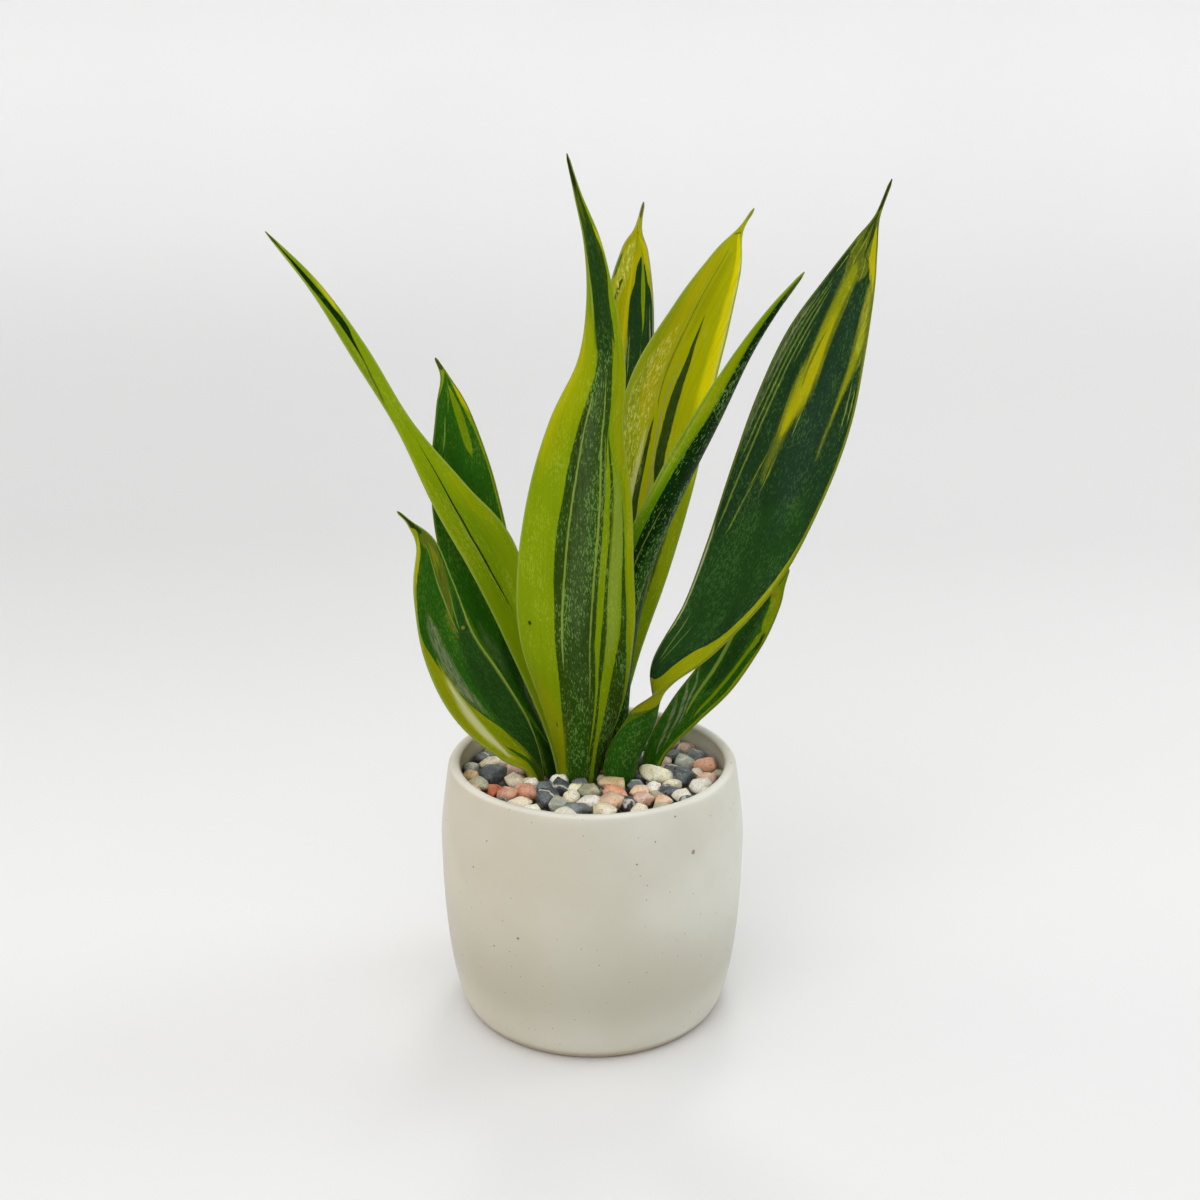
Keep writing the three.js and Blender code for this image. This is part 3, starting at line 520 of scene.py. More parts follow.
leafRightWide = {
    "rows": [(14, 1.5, 82, 12, 110, 60), (14, 0, 107.5, 19.4, 113.5, 58),
        (23.4, -2.9, 130.5, 17.8, 127.3, 60), (32.6, -8, 154.5, 20, 206.5, 45.4),
        (49.9, -7.5, 175, 32.5, 212.8, 35.2), (64.1, -8, 203, 39, 231, 28),
        (75.2, -10, 236, 41.2, 245.5, 24), (83.6, -11, 265, 40, 255.7, 22),
        (90.9, -12, 290.5, 33.1, 253.2, 20), (99.1, -13, 314, 20.1, 257, 20),
        (104.2, -14, 329.5, 9.5, 256, 16), (108, -14, 340, 2.2, 256, 10), (112.5, -15, 353.5, 1, 256, 10)],
    "slot": "green_blade", "rim": "olive", "flecks": 0.55,
    "bands": [
        ("gold", [(0, -100), (1.4, -100), (1.7, -90), (2, -70), (2.3, -40), (2.45, 0), (2.52, 100),
            (2.62, 100), (2.7, 60), (2.8, 30), (2.95, 6), (3.2, -13), (3.5, -28), (3.8, -55), (4.1, -75),
            (4.4, -83), (4.7, -87), (5, -90), (5.3, -94), (5.6, -98), (8.2, -99), (8.7, -97), (9, -88),
            (9.3, -72), (9.6, -45), (9.8, -28), (10.1, -38), (10.4, -55), (10.7, -52), (11, -35),
            (11.3, -90), (12, -100)]),
        ("spruce", None)],
    "strokes": [
        ("leafGreen", 22, 40, [(2.6, 40), (3.4, 50, 50), (4.6, 30, 90), (5.4, -20, 80), (6.2, -60)]),
        ("leafGreen", 80, 20, [(0, 0, 130), (1.6, 0, 120), (2.3, 0, 60), (2.5, 0)]),
        ("slate", 45, 50, [(5.2, -30), (6.4, -30, 30), (8.4, -35, 25), (9.2, -35)]),
        ("slate", 50, 20, [(8.2, 60), (8.5, 55, 8), (9.1, 55, 10), (9.4, 50)]),
        ("olive", 92, 14, [(5.8, 36), (6.2, 34, 6), (6.8, 25, 11), (7.4, 16, 20), (8, 11, 18),
            (8.6, 12, 24), (9, 14, 30), (9.3, 0, 55), (9.6, 0, 80), (10, 20, 110), (10.9, 20, 130),
            (11.3, 0)]),
        ("gold", 80, 14, [(6.4, 31), (6.8, 26, 9), (7.4, 17, 18), (8, 12, 16), (8.6, 12, 17), (9.2, 10, 20),
            (9.6, 10)]),
        ("sun", 60, 12, [(6.5, 30), (6.8, 25, 7), (7.1, 20, 10), (7.4, 15, 13), (7.7, 11, 13), (8, 10, 10),
            (8.4, 10, 5), (8.7, 10)]),
        ("gold", 60, 2, [(5.6, 58), (6, 50, 1.2), (6.6, 40)]),
        ("gold", 60, 2, [(5.6, 33), (6, 28, 1.2), (6.6, 22)]),
        ("moss", 75, 5, [(7.2, 20), (7.5, 22, 2), (8, 17, 2), (8.4, 12)]),
        ("olive", 90, 6, [(6.3, -56), (6.6, -56, 2.5), (7.1, -61, 3.5), (7.4, -65, 6), (7.7, -73, 9),
            (8, -81, 15), (8.5, -83, 17), (9, -85, 14), (9.4, -85)]),
        ("gold", 80, 6, [(6.8, -58), (7.3, -64, 2.5), (7.7, -72, 5), (8.1, -80, 7), (8.5, -86, 4),
            (8.8, -88)]),
        ("straw", 50, 10, [(7.9, -85), (8.3, -83, 10), (9, -85, 10), (9.3, -85)]),
        ("pale", 75, 2, [(6.7, -83), (7.2, -83.5, 1.2), (8, -84)]),
        ("pale", 70, 2, [(6.8, -93), (7.3, -93, 1.2), (7.8, -93)]),
        ("pale", 65, 2, [(6.5, 8), (6.8, 6, 1.2), (7.2, 3)]),
        ("pale", 50, 3, [(5, 72), (5.3, 65, 1.2), (5.6, 58, 1.4), (6.2, 45)]),
        ("pale", 60, 3, [(4.9, 92), (5.5, 86, 1.4), (6.5, 75, 1.4), (7.5, 66, 1.4), (8.3, 60, 1.6),
            (9.2, 64)]),
        ("pale", 50, 3, [(5.8, 93), (6.5, 84, 1.4), (7.5, 75, 1.6), (8.5, 70, 1.6), (9.3, 70)]),
        ("pale", 40, 3, [(6.2, 96), (7, 88, 1.6), (8, 81, 1.8), (8.9, 78, 1.4), (9.3, 77)]),
        ("pale", 40, 4, [(7, 97), (7.5, 93, 1.6), (8.2, 88, 1.8), (9, 86)]),
        # Painted sheen: a soft grey gloss along the edge at u = 100
        ("silverAndSheen", 35, 10, [(6, 98), (7, 95, 5), (8, 93, 6), (9, 93)]),
        ("pale", 60, 2, [(7.4, 56), (7.9, 53, 1.2), (8.5, 50)]),
        ("straw", 70, 4, [(9.2, 30), (9.6, 30, 3), (10, 20, 3), (10.5, 12, 3), (10.9, 20)]),
        ("straw", 60, 3, [(9, -30), (9.4, -35, 2), (9.9, -10, 3), (10.3, 10)]),
        ("pale", 70, 3, [(9, 80), (9.5, 78, 3), (10, 70, 3), (10.5, 80)]),
        ("forest", 85, 6, [(9.2, 66), (9.5, 68, 4), (9.8, 88, 5), (10.1, 88)]),
        ("forest", 85, 8, [(9, -50), (9.4, -66, 5), (9.6, -50, 5), (9.8, -18, 7), (10.1, -27, 10),
            (10.4, -30, 22), (10.7, -20, 28), (11, 0, 30), (11.3, 0)]),
        ("forest", 85, 6, [(9.9, 38), (10.1, 38, 7), (10.4, 47, 18), (10.7, 58, 22), (11, 35, 20),
            (11.3, 0)]),
        ("pale", 60, 3, [(2.9, 80), (3.2, 70, 1.4), (3.6, 70, 1.4), (4.1, 73)]),
        ("pale", 50, 3, [(2.95, 66), (3.1, 58, 1.2), (3.4, 49, 1.4), (4.1, 44)]),
        ("sun", 85, 12, [(8.9, -98), (9.3, -92, 10), (9.7, -75, 20), (10.4, -78, 18), (10.8, -85)]),
        ("cream", 50, 3, [(3.3, 99), (3.6, 96.5, 2), (5, 96.5, 2), (5.4, 99)]),
        ("bark", 90, 30, [(11, 0), (11.4, 0, 130), (12, 0, 130)])],
}

leafRightSmall = {
    "rows": [(25, 13, 82, 8, 215, 50), (27.8, 13.5, 106.5, 12.3, 219.2, 46),
        (41.3, 21, 125.5, 17.2, 239, 38), (56.1, 29, 140.5, 20, 240.5, 30),
        (67.2, 36, 156.5, 20.6, 243.5, 26), (77, 42, 170, 14, 249, 28), (82.6, 46, 176.3, 6.4, 245, 36),
        (86.4, 48, 183, 2.5, 245, 30)],
    "slot": "green_blade", "rim": "olive", "flecks": 0.6,
    "bands": [
        ("lime", [(0, -100), (2.2, -90), (3.2, -90), (3.8, -97), (4, -95), (4.2, -70), (4.4, -52),
            (4.8, -42), (5.2, -10), (5.6, 20), (7, 60)]),
        ("leafGreen", None)],
    "strokes": [
        ("forest", 85, 20, [(2.3, -10), (2.9, -10, 28), (4.2, -12, 30), (5, 0, 20), (5.4, 10)]),
        ("forest", 60, 20, [(2.4, 70), (3.2, 70, 30), (4.4, 70, 30), (6, 70, 20), (7, 60)]),
        ("lime", 90, 5, [(1.9, -70), (2.1, -61, 6), (2.5, -56, 8), (2.8, -52, 8), (3.2, -55, 7.5),
            (3.6, -61, 8), (4, -70, 12), (4.3, -70)]),
        ("pale", 85, 5, [(1.9, -15), (2, -6, 6), (2.2, 10, 7), (2.5, 24.5, 8), (3, 34, 8), (3.5, 38, 7.5),
            (4, 42, 5), (4.3, 44)]),
        ("fern", 70, 10, [(3.9, 40), (4.3, 38, 14), (4.8, 30, 17), (5.2, 35, 12), (5.6, 50)]),
        ("silverAndSheen", 90, 5, [(1.6, -25), (1.8, -10, 5), (2.1, 25, 6), (2.5, 60, 6), (2.9, 95)]),
        ("silverAndSheen", 80, 7, [(1.2, -50), (1.5, -15, 10), (1.8, 15, 10), (2.2, 60, 10), (2.6, 100)]),
        ("silverAndSheen", 75, 10, [(1, -30), (1.2, 0, 12), (1.6, 40, 12), (2, 80, 10), (2.2, 100)]),
        ("leafGreen", 80, 15, [(0.8, 50), (1.2, 60, 20), (1.5, 80, 15), (1.8, 100)]),
        ("gold", 70, 15, [(4.6, -80), (5, -70, 30), (5.5, -50, 20), (6, -20)]),
        ("sun", 50, 10, [(2.4, -100), (3, -97, 5), (4, -100)]),
        ("amber", 60, 10, [(5, -20), (5.3, -30, 20), (5.6, -40)]),
        ("bark", 85, 10, [(3.75, -86), (3.85, -86, 5), (4.15, -86, 5), (4.25, -86)]),
        ("bark", 80, 20, [(5.6, 10), (5.9, 5, 20), (6.3, 0, 40), (7, 0, 60)])],
}

blades = {
    "leaf_left_long": leafLeftLong, "leaf_left_dark": leafLeftDark, "leaf_left_low": leafLeftLow,
    "leaf_front_wide": leafFrontWide, "leaf_back_upright": leafBackUpright,
    "leaf_back_yellow": leafBackYellow, "leaf_right_slim": leafRightSlim, "leaf_right_wide": leafRightWide,
    "leaf_right_small": leafRightSmall,
}

bladeShape = {
    "footThickness": 4.4, "middleThickness": 2.8, "tipThickness": 0.8, "edgeThickness": 0.9, "thinPower": 2.5,
    "foldPower": 0.7, "foldSteps": 12, "foot": 88.0, "across": 26, "perRow": 12, "spacing": 0.92,
    "rimSteps": 3, "rimBulge": 0.75, "rimInset": 0.35, "rimShare": 0.4, "closeFrom": 0.985, "closeBy": 0.6,
}


# The smooth curve through the rows, at row t
def readRows(rows, t):
    i = min(int(t), len(rows) - 2)
    f = t - i
    here, there = np.array(rows[i], float), np.array(rows[i + 1], float)
    before = np.array(rows[i - 1], float) if i > 0 else 2 * here - there
    after = np.array(rows[i + 2], float) if i + 2 < len(rows) else 2 * there - here
    bend = 2 * before - 5 * here + 4 * there - after
    turn = 3 * (here - there) + after - before
    return here + 0.5 * f * (there - before + f * (bend + f * turn))


# A place across the blade, sideways and up, where the edges curl
def sectionPoint(u, halfWidth, curl):
    steps = bladeShape["foldSteps"]
    slopes = curl * ((np.arange(steps) + 0.5) / steps * abs(u)) ** bladeShape["foldPower"]
    return halfWidth * u * np.cos(slopes).mean(), halfWidth * abs(u) * np.sin(slopes).mean()


# The middle of the blade at row t, its directions across and inwards, its width and its curl
def bladeFrame(rows, t):
    x, y, z, width, facing, curl = readRows(rows, t)
    along = readRows(rows, min(t + 0.01, len(rows) - 1))[:3] - readRows(rows, max(t - 0.01, 0))[:3]
    along /= np.linalg.norm(along)
    heading = math.radians(facing)
    inward = np.array([math.cos(heading), math.sin(heading), 0.0])
    inward -= along * inward.dot(along)
    inward /= np.linalg.norm(inward)
    return np.array([x, y, z]), np.cross(inward, along), inward, width, math.radians(curl)


def bladeThickness(share):
    foot, middle, tip = (bladeShape[part + "Thickness"] for part in ("foot", "middle", "tip"))
    if share < 0.5:
        return foot + (middle - foot) * share * 2
    return middle + (tip - middle) * (share * 2 - 1)


# One turn round the blade's section: its inner face, one edge, its outer face and the other edge
def bladeLoop(rows, t):
    s = bladeShape
    spot, across, inward, width, curl = bladeFrame(rows, t)
    share = t / (len(rows) - 1)
    middle = bladeThickness(share)
    edge = min(s["edgeThickness"], middle)
    close = 1 - max(0.0, (share - s["closeFrom"]) / (1 - s["closeFrom"])) * s["closeBy"]
    halfWidth = max(width, s["tipThickness"]) / 2
    reach = (halfWidth - min(s["rimInset"], halfWidth * s["rimShare"])) * close
    widest = math.pi / 2 * s["spacing"]
    inner, outer, rims = [], [], {}
    for u in np.sin(np.linspace(-1, 1, s["across"] + 1) * widest) / math.sin(widest):
        sideways, up = sectionPoint(u, reach, curl)
        slope = curl * abs(u) ** s["foldPower"] * np.sign(u)
        half = (edge + (middle - edge) * (1 - abs(u) ** s["thinPower"])) / 2 * close
        point = spot + across * sideways + inward * up
        normal = inward * math.cos(slope) - across * math.sin(slope)
        inner.append((point + normal * half, u, 1.0))
        outer.append((point - normal * half, u, 0.0))
        if abs(u) > 0.999:
            side = np.sign(u)
            outward = (across * math.cos(slope) + inward * math.sin(slope)) * side
            rims[side] = []
            for k in range(1, s["rimSteps"] + 1):
                angle = math.pi * (0.5 - k / (s["rimSteps"] + 1))
                bulge = outward * half * s["rimBulge"] * math.cos(angle)
                rims[side].append((point + normal * half * math.sin(angle) + bulge, side, 0.5))
    loop = inner + rims[1] + outer[::-1] + rims[-1][::-1]
    return [(place, u, side, u * halfWidth) for place, u, side in loop]


# The row where the blade leaves the soil
def footRow(rows):
    low, high = 0.0, 1.0
    for _ in range(30):
        middle = (low + high) / 2
        low, high = (middle, high) if readRows(rows, middle)[2] < bladeShape["foot"] else (low, middle)
    return low


# The blade map runs from edge to edge and from foot to tip, the skin map counts in lengths of 100 mm
def bladeMesh(name, rows):
    last = len(rows) - 1
    start = footRow(rows)
    stations = [start] + [t for t in np.arange(1, last * bladeShape["perRow"] + 1) / bladeShape["perRow"]
                          if t > start + 0.02]
    places, coords, sides, runs = [], [], [], []
    run, previous = 0.0, None
    for t in stations:
        centre = readRows(rows, t)[:3]
        run += 0.0 if previous is None else float(np.linalg.norm(centre - previous))
        previous = centre
        for place, u, side, arc in bladeLoop(rows, t):
            place[2] = max(place[2], bladeShape["foot"])
            places.append(tuple(place * mm))
            coords.append(((u + 1) / 2, t / last))
            sides.append(side)
            runs.append((arc / 100, run / 100))
    count = len(places) // len(stations)
    faces = []
    for k in range(len(stations) - 1):
        for j in range(count):
            a, b = k * count + j, k * count + (j + 1) % count
            faces.append((a, a + count, b + count, b))
    faces.append(tuple(range(count)))
    faces.append(tuple(range(len(places) - 1, len(places) - 1 - count, -1)))
    mesh = bpy.data.meshes.new(name)
    mesh.from_pydata(places, [], faces)
    for layerName, values in (("blade", coords), ("skin", runs)):
        layer = mesh.uv_layers.new(name=layerName)
        for corner in mesh.loops:
            layer.data[corner.index].uv = values[corner.vertex_index]
    mesh.attributes.new("innerSide", "FLOAT", "POINT").data.foreach_set("value", sides)
    outsideOut(mesh)
    mesh.shade_smooth()
    return mesh


def outsideOut(mesh):
    work = bmesh.new()
    work.from_mesh(mesh)
    bmesh.ops.recalc_face_normals(work, faces=work.faces)
    work.to_mesh(mesh)
    work.free()


# A value that follows the rows. The curve node holds values from 0 to 1, so -1.5 to 1.5 is packed into
# that, and a flat stretch at both ends keeps the node steady outside its points.
def rowCurve(tree, v, points, last):
    made = addNode(tree, "ShaderNodeFloatCurve", {"Factor": 1.0, "Value": v})
    made.mapping.use_clip = False
    made.mapping.extend = "HORIZONTAL"
    curve = made.mapping.curves[0].points
    ends = [(points[0][0] - 0.3, points[0][1]), (points[-1][0] + 0.3, points[-1][1])]
    knots = [(row / last, (value / 100 + 1.5) / 3) for row, value in (ends[0], *points, ends[1])]
    curve[0].location, curve[1].location = knots[0], knots[-1]
    for knot in knots[1:-1]:
        curve.new(*knot)
    for point in curve:
        point.handle_type = "AUTO_CLAMPED"
    made.mapping.update()
    return scaled(tree, made.outputs[0], 3.0, -1.5)


# How much of a stroke covers each spot: its soft edge is centred on its half width
def strokeMask(tree, u, v, points, softness, last):
    middle = rowCurve(tree, v, [point[:2] for point in points], last)
    half = rowCurve(tree, v, [(row, sum(width)) for row, _, *width in points], last)
    inside = calc(tree, "SUBTRACT", half, calc(tree, "ABSOLUTE", calc(tree, "SUBTRACT", u, middle)))
    return times(tree, ramp(tree, inside, -softness / 200, softness / 200), ramp(tree, half, 0.0, 0.012))


# A small oval mark at a row and u
def markMask(tree, u, v, row, middle, tall, wide, last):
    side = times(tree, calc(tree, "SUBTRACT", u, middle / 100), 100 / wide)
    up = times(tree, calc(tree, "SUBTRACT", v, row / last), last / tall)
    near = calc(tree, "ADD", times(tree, side, side), times(tree, up, up))
    return ramp(tree, near, 0.5, 1.3, 1.0, 0.0)


# Textures are cells per 100 mm across and along the blade. Edges of bands and soft strokes sway in u.
bladeLook = {
    "textures": {"fibres": (130, 1.8), "feather": (190, 22), "brokenSheen": (170, 26), "clumps": (14, 5),
                 "flecks": (230, 62), "broad": (7, 2), "leather": (150, 110), "ribs": (55, 0.9),
                 "folds": (130, 40)},
    "skinShift": (3.37, 2.21, 0.43), "edgeSway": 0.03, "strokeSway": 0.2, "swayAbove": 9,
    "brokenSheen": ("silverAndSheen", "straw"), "markStrength": 0.85, "rimStrength": 0.7,
    "shade": ("#132b08", 0.35), "darkFleck": ("#7ca556", 0.7, 0.1), "paleFleck": ("#c6d04a", 0.25),
    # fold is a painted highlight on the crinkle crests: its colour, strength and the crests' rise in the bump
    "fibreLine": ("#8f9c2c", 0.14), "broadTone": ("#a3b84a", 0.2), "fold": ("#e8e670", 0.75, 1.6),
    "roughness": (0.42, 0.55), "specular": 0.03, "bump": (0.5, 0.35),
}


def skinSpots(tree, skin, name, detail=2.0, roughness=0.5):
    across, along = bladeLook["textures"][name]
    return spots(tree, stretched(tree, skin, (across, along, 1)), 1.0, detail, roughness)


# Bands, strokes and marks: calm is u with feathered edges, streaky is u that follows the fibres
def bladeMarkings(tree, blade, skin, v, calm, streaky):
    last = len(blade["rows"]) - 1
    colour = paint(greens[blade["bands"][0][0]])
    for (_, line), (nextColour, _) in zip(blade["bands"], blade["bands"][1:]):
        past = calc(tree, "SUBTRACT", calm, rowCurve(tree, v, line, last))
        colour = tint(tree, ramp(tree, past, -0.01, 0.012), colour, greens[nextColour])
    # Painted sheen: silver and straw strokes are split into specks by this noise, as glints
    brokenSheen = ramp(tree, skinSpots(tree, skin, "brokenSheen", 3.0), 0.38, 0.6, 0.3, 1.0)
    for strokeColour, strength, softness, points in blade["strokes"]:
        across = streaky if softness > bladeLook["swayAbove"] else calm
        mask = strokeMask(tree, across, v, points, softness, last)
        if strokeColour in bladeLook["brokenSheen"]:
            mask = times(tree, mask, brokenSheen)
        colour = tint(tree, times(tree, mask, strength / 100), colour, greens[strokeColour])
    for markColour, *oval in blade.get("marks", []):
        mask = markMask(tree, calm, v, *oval, last)
        colour = tint(tree, times(tree, mask, bladeLook["markStrength"]), colour, greens[markColour])
    return colour


# Fleshy green is darker, and carries the pale flecks, most of all on the outer face
def bladeFlecks(tree, blade, skin, v, colour, clumps):
    look = bladeLook
    last = len(blade["rows"]) - 1
    side = attributeOf(tree, "innerSide")
    dark = ramp(tree, splitColour(tree, colour)[1], 0.08, 0.2, 1.0, 0.0)
    flecks = skinSpots(tree, skin, "flecks", 2.0, 0.55)
    place = scaled(tree, clumps, 0.5, calc(tree, "ADD", flecks, -0.25))
    shade, shadeStrength = look["shade"]
    fleck, strong, calmed = look["darkFleck"]
    calmFrom = blade.get("calmFrom", last) / last
    strength = ramp(tree, v, calmFrom, calmFrom + 0.1, strong * blade["flecks"], calmed * blade["flecks"])
    darkFlecks = times(tree, times(tree, ramp(tree, place, 0.55, 0.65), dark),
                       times(tree, ramp(tree, side, 0.0, 1.0, 1.0, 0.45, "LINEAR"), strength))
    colour = tint(tree, times(tree, ramp(tree, place, 0.3, 0.48, shadeStrength, 0.0), dark), colour, shade)
    colour = tint(tree, darkFlecks, colour, fleck)
    fleck, strong = look["paleFleck"]
    paleShare = times(tree, calc(tree, "SUBTRACT", 1.0, dark), strong)
    return tint(tree, times(tree, ramp(tree, place, 0.56, 0.66), paleShare), colour, fleck)


def bladeMaterial(name, blade):
    look = bladeLook
    material, tree, shader = newMaterial(name)
    place = addNode(tree, "ShaderNodeUVMap", uv_map="blade").outputs[0]
    skin = addNode(tree, "ShaderNodeUVMap", uv_map="skin").outputs[0]
    skin = stretched(tree, skin, (1, 1, 1), look["skinShift"])
    across, v, _ = splitVector(tree, place)
    u = scaled(tree, across, 2.0, -1.0)
    fibres = skinSpots(tree, skin, "fibres", 3.0, 0.6)
    edgeSway, strokeSway = look["edgeSway"], look["strokeSway"]
    calm = calc(tree, "ADD", u, scaled(tree, skinSpots(tree, skin, "feather", 3.0), edgeSway, -edgeSway / 2))
    streaky = calc(tree, "ADD", calm, scaled(tree, fibres, strokeSway, -strokeSway / 2))
    clumps = skinSpots(tree, skin, "clumps", 3.0)
    colour = bladeMarkings(tree, blade, skin, v, calm, streaky)
    colour = bladeFlecks(tree, blade, skin, v, colour, clumps)

    line, strength = look["fibreLine"]
    colour = tint(tree, ramp(tree, fibres, 0.34, 0.5, strength, 0.0), colour, line, "MULTIPLY")
    tone, strength = look["broadTone"]
    broad = skinSpots(tree, skin, "broad")
    colour = tint(tree, ramp(tree, broad, 0.35, 0.65, 0.0, strength), colour, tone, "MULTIPLY")
    rim = ramp(tree, calc(tree, "ABSOLUTE", u), 0.968, 0.985, 0.0, look["rimStrength"])
    colour = tint(tree, rim, colour, greens[blade["rim"]])

    height = scaled(tree, skinSpots(tree, skin, "leather"), 0.35, skinSpots(tree, skin, "ribs"))
    # Crinkled patches: wrinkles in the bump, with a painted highlight of pale yellow on their crests
    if "crinkle" in blade:
        fold, strength, depth = look["fold"]
        mask = strokeMask(tree, streaky, v, blade["crinkle"], 20, len(blade["rows"]) - 1)
        folds = skinSpots(tree, skin, "folds", 2.0, 0.6)
        height = scaled(tree, times(tree, mask, folds), depth, height)
        colour = tint(tree, times(tree, mask, ramp(tree, folds, 0.48, 0.62, 0.0, strength)), colour, fold)
    shader.inputs["Specular IOR Level"].default_value = look["specular"]
    roughness = ramp(tree, clumps, 0.3, 0.7, *look["roughness"])
    return finish(material, tree, shader, colour, roughness, height, look["bump"])


for name, blade in blades.items():
    piece = newPiece(name + "_blade", bladeMesh(name, blade["rows"]))
    piece.data.materials.append(bladeMaterial(name, blade))
    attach(piece, "root")
    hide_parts(name)
print("stage: nine blades")


# Pebble bed: each pebble that shows is x, y, longest, across, turn of the longest side, and its stone. A
# pair of numbers is the least value and the spread above it, or the two ends of a range.

bed = {
    "shown": [(-48.5, 24, 8.5, 7.5, 30, "slate"), (-44.5, 31, 8.5, 7.5, 0, "cream"),
        (-39, 38, 8, 7, 45, "sand"), (-53, 13, 8, 7, 80, "veined"), (-43.5, 15.5, 13, 9, 10, "cream"),
        (-43, 2, 12.5, 10, -5, "charcoal"), (-48.5, -5.5, 12, 7, -40, "olive"),
        (-33.5, 10, 12, 9, -20, "rose"), (-33, -3.5, 9.5, 8.5, 0, "cream"), (-41, -11, 8.5, 7, 40, "brick"),
        (-36, -17, 9.5, 8, -25, "salmon"), (-27.5, -14, 11, 9.5, -15, "salmon"),
        (-26.5, -4.5, 9, 8, 5, "white"), (-20, -7.5, 8, 7, 30, "slate"),
        (-18.5, -20, 11, 9, 30, "charcoal"), (-13, -8, 9, 8, -30, "charcoal"),
        (-14, -1, 8.5, 7.5, 20, "white"), (-5, -4, 8, 7.5, 0, "slate"),
        (-9.5, -17.5, 8.5, 7.5, 60, "cream"), (-1.5, -13.5, 9.5, 8.5, 10, "olive"),
        (-7, -10.5, 7, 6, 20, "cream"), (-1.5, -22.5, 10.5, 8, -5, "white"),
        (-5.5, -30.5, 13, 8, 10, "slate"), (-30, -24, 10, 8, -20, "cream"),
        (-13.5, -26.5, 9, 8, 0, "veined"), (8, -6.5, 12, 8.5, 0, "sand"), (5, 1.5, 6.5, 6, 0, "olive"),
        (18.5, -4.5, 7.5, 6.5, 15, "slate"), (19.5, -12, 9, 7.5, 15, "peach"),
        (10, -15.5, 11, 8.5, -10, "salmon"), (7.5, -24, 11, 9, -45, "peach"),
        (14.5, -23, 8, 7, 0, "charcoal"), (21, -20.5, 8.5, 8, 30, "rose"), (26.5, -14.5, 9, 6, 80, "olive"),
        (27.5, 3, 17, 9, -25, "cream"), (21.5, 23, 8, 7.5, 0, "slate"), (32, -12, 9, 7, -30, "charcoal"),
        (37.5, -15.5, 8.5, 8, 0, "white"), (29.5, -23.5, 9, 8, 10, "peach"),
        (39.5, 1.5, 10.5, 9.5, 20, "charcoal"), (35, 9.5, 8, 7, -10, "slate"),
        (41, 17, 11, 8.5, 15, "veined"), (36, 25, 9, 8, -20, "slate"), (46, -8, 10.5, 7.5, 20, "white"),
        (49, 1, 8.5, 7.5, -20, "peach"), (49, 14.5, 10.5, 8, -5, "salmon"), (54, 7.5, 8, 5.5, 80, "olive"),
        (46.5, 25, 9.5, 7.5, -5, "slate"), (42, 33, 8.5, 7.5, 10, "rose"), (36, 40, 8.5, 8, 0, "veined"),
        (25, 47, 8, 7, 80, "rose"), (25, 37, 9, 8, 20, "slate")],
    "fillSizes": (11, 10, 9, 8, 7), "fillTries": 420, "fillOverlap": 0.9, "fillSeed": 17,
    "longSpread": (0.92, 0.16), "wideSpread": (0.72, 0.2), "tallSpread": (0.8, 0.12), "restSpread": 0.8,
    "clearOfBlades": 1.2, "clearOfWall": 0.9, "wallShare": 0.46, "bottom": 98.3, "middle": 102.0,
    "radius": 57.6, "tilt": 9.0, "lookSeed": 5,
    "kinds": {"cream": 5, "white": 4, "slate": 4, "charcoal": 3, "veined": 2, "salmon": 2, "peach": 2,
              "rose": 2, "sand": 1, "olive": 1},
    "lowStep": 7.4, "lowRow": 0.87, "lowBottom": 93.2, "lowTop": 99.2, "lowSizes": (8, 10),
    "lowWide": 0.85, "lowMargin": 4,
    "shapes": 12, "corners": 12, "creases": (0.15, 0.75), "spiral": 2.4, "spiralSway": 0.45,
    "swell": (0.78, 1.14), "wear": 0.9, "dents": 260.0, "shades": (0.8, 1.1), "hues": (0.97, 1.03),
}

stones = {
    "cream": "#dfd4ba", "white": "#e6e1d4", "sand": "#d0b591", "peach": "#ddb89d", "rose": "#cdab9b",
    "salmon": "#cf947d", "brick": "#b0603f", "olive": "#a6a58f", "veined": "#a7aba0", "slate": "#5f696f",
    "charcoal": "#3c444a",
}
slatyStones = ("charcoal", "veined", "slate")


# Numbers from 0 to 1, always in the same order for a seed
def seededNumbers(seed):
    state = seed
    while True:
        state = (state * 1664525 + 1013904223) & 0xFFFFFFFF
        yield state / 4294967296


# Places round each blade where it passes through the pebbles
def bladeFeet():
    feet = []
    for blade in blades.values():
        rows = blade["rows"]
        t = (bed["middle"] - rows[0][2]) / (rows[1][2] - rows[0][2])
        spot, across, inward, width, curl = bladeFrame(rows, t)
        for u in (-1.0, -0.5, 0.0, 0.5, 1.0):
            sideways, up = sectionPoint(u, width / 2, curl)
            feet.append((spot + across * sideways + inward * up)[:2])
    return feet


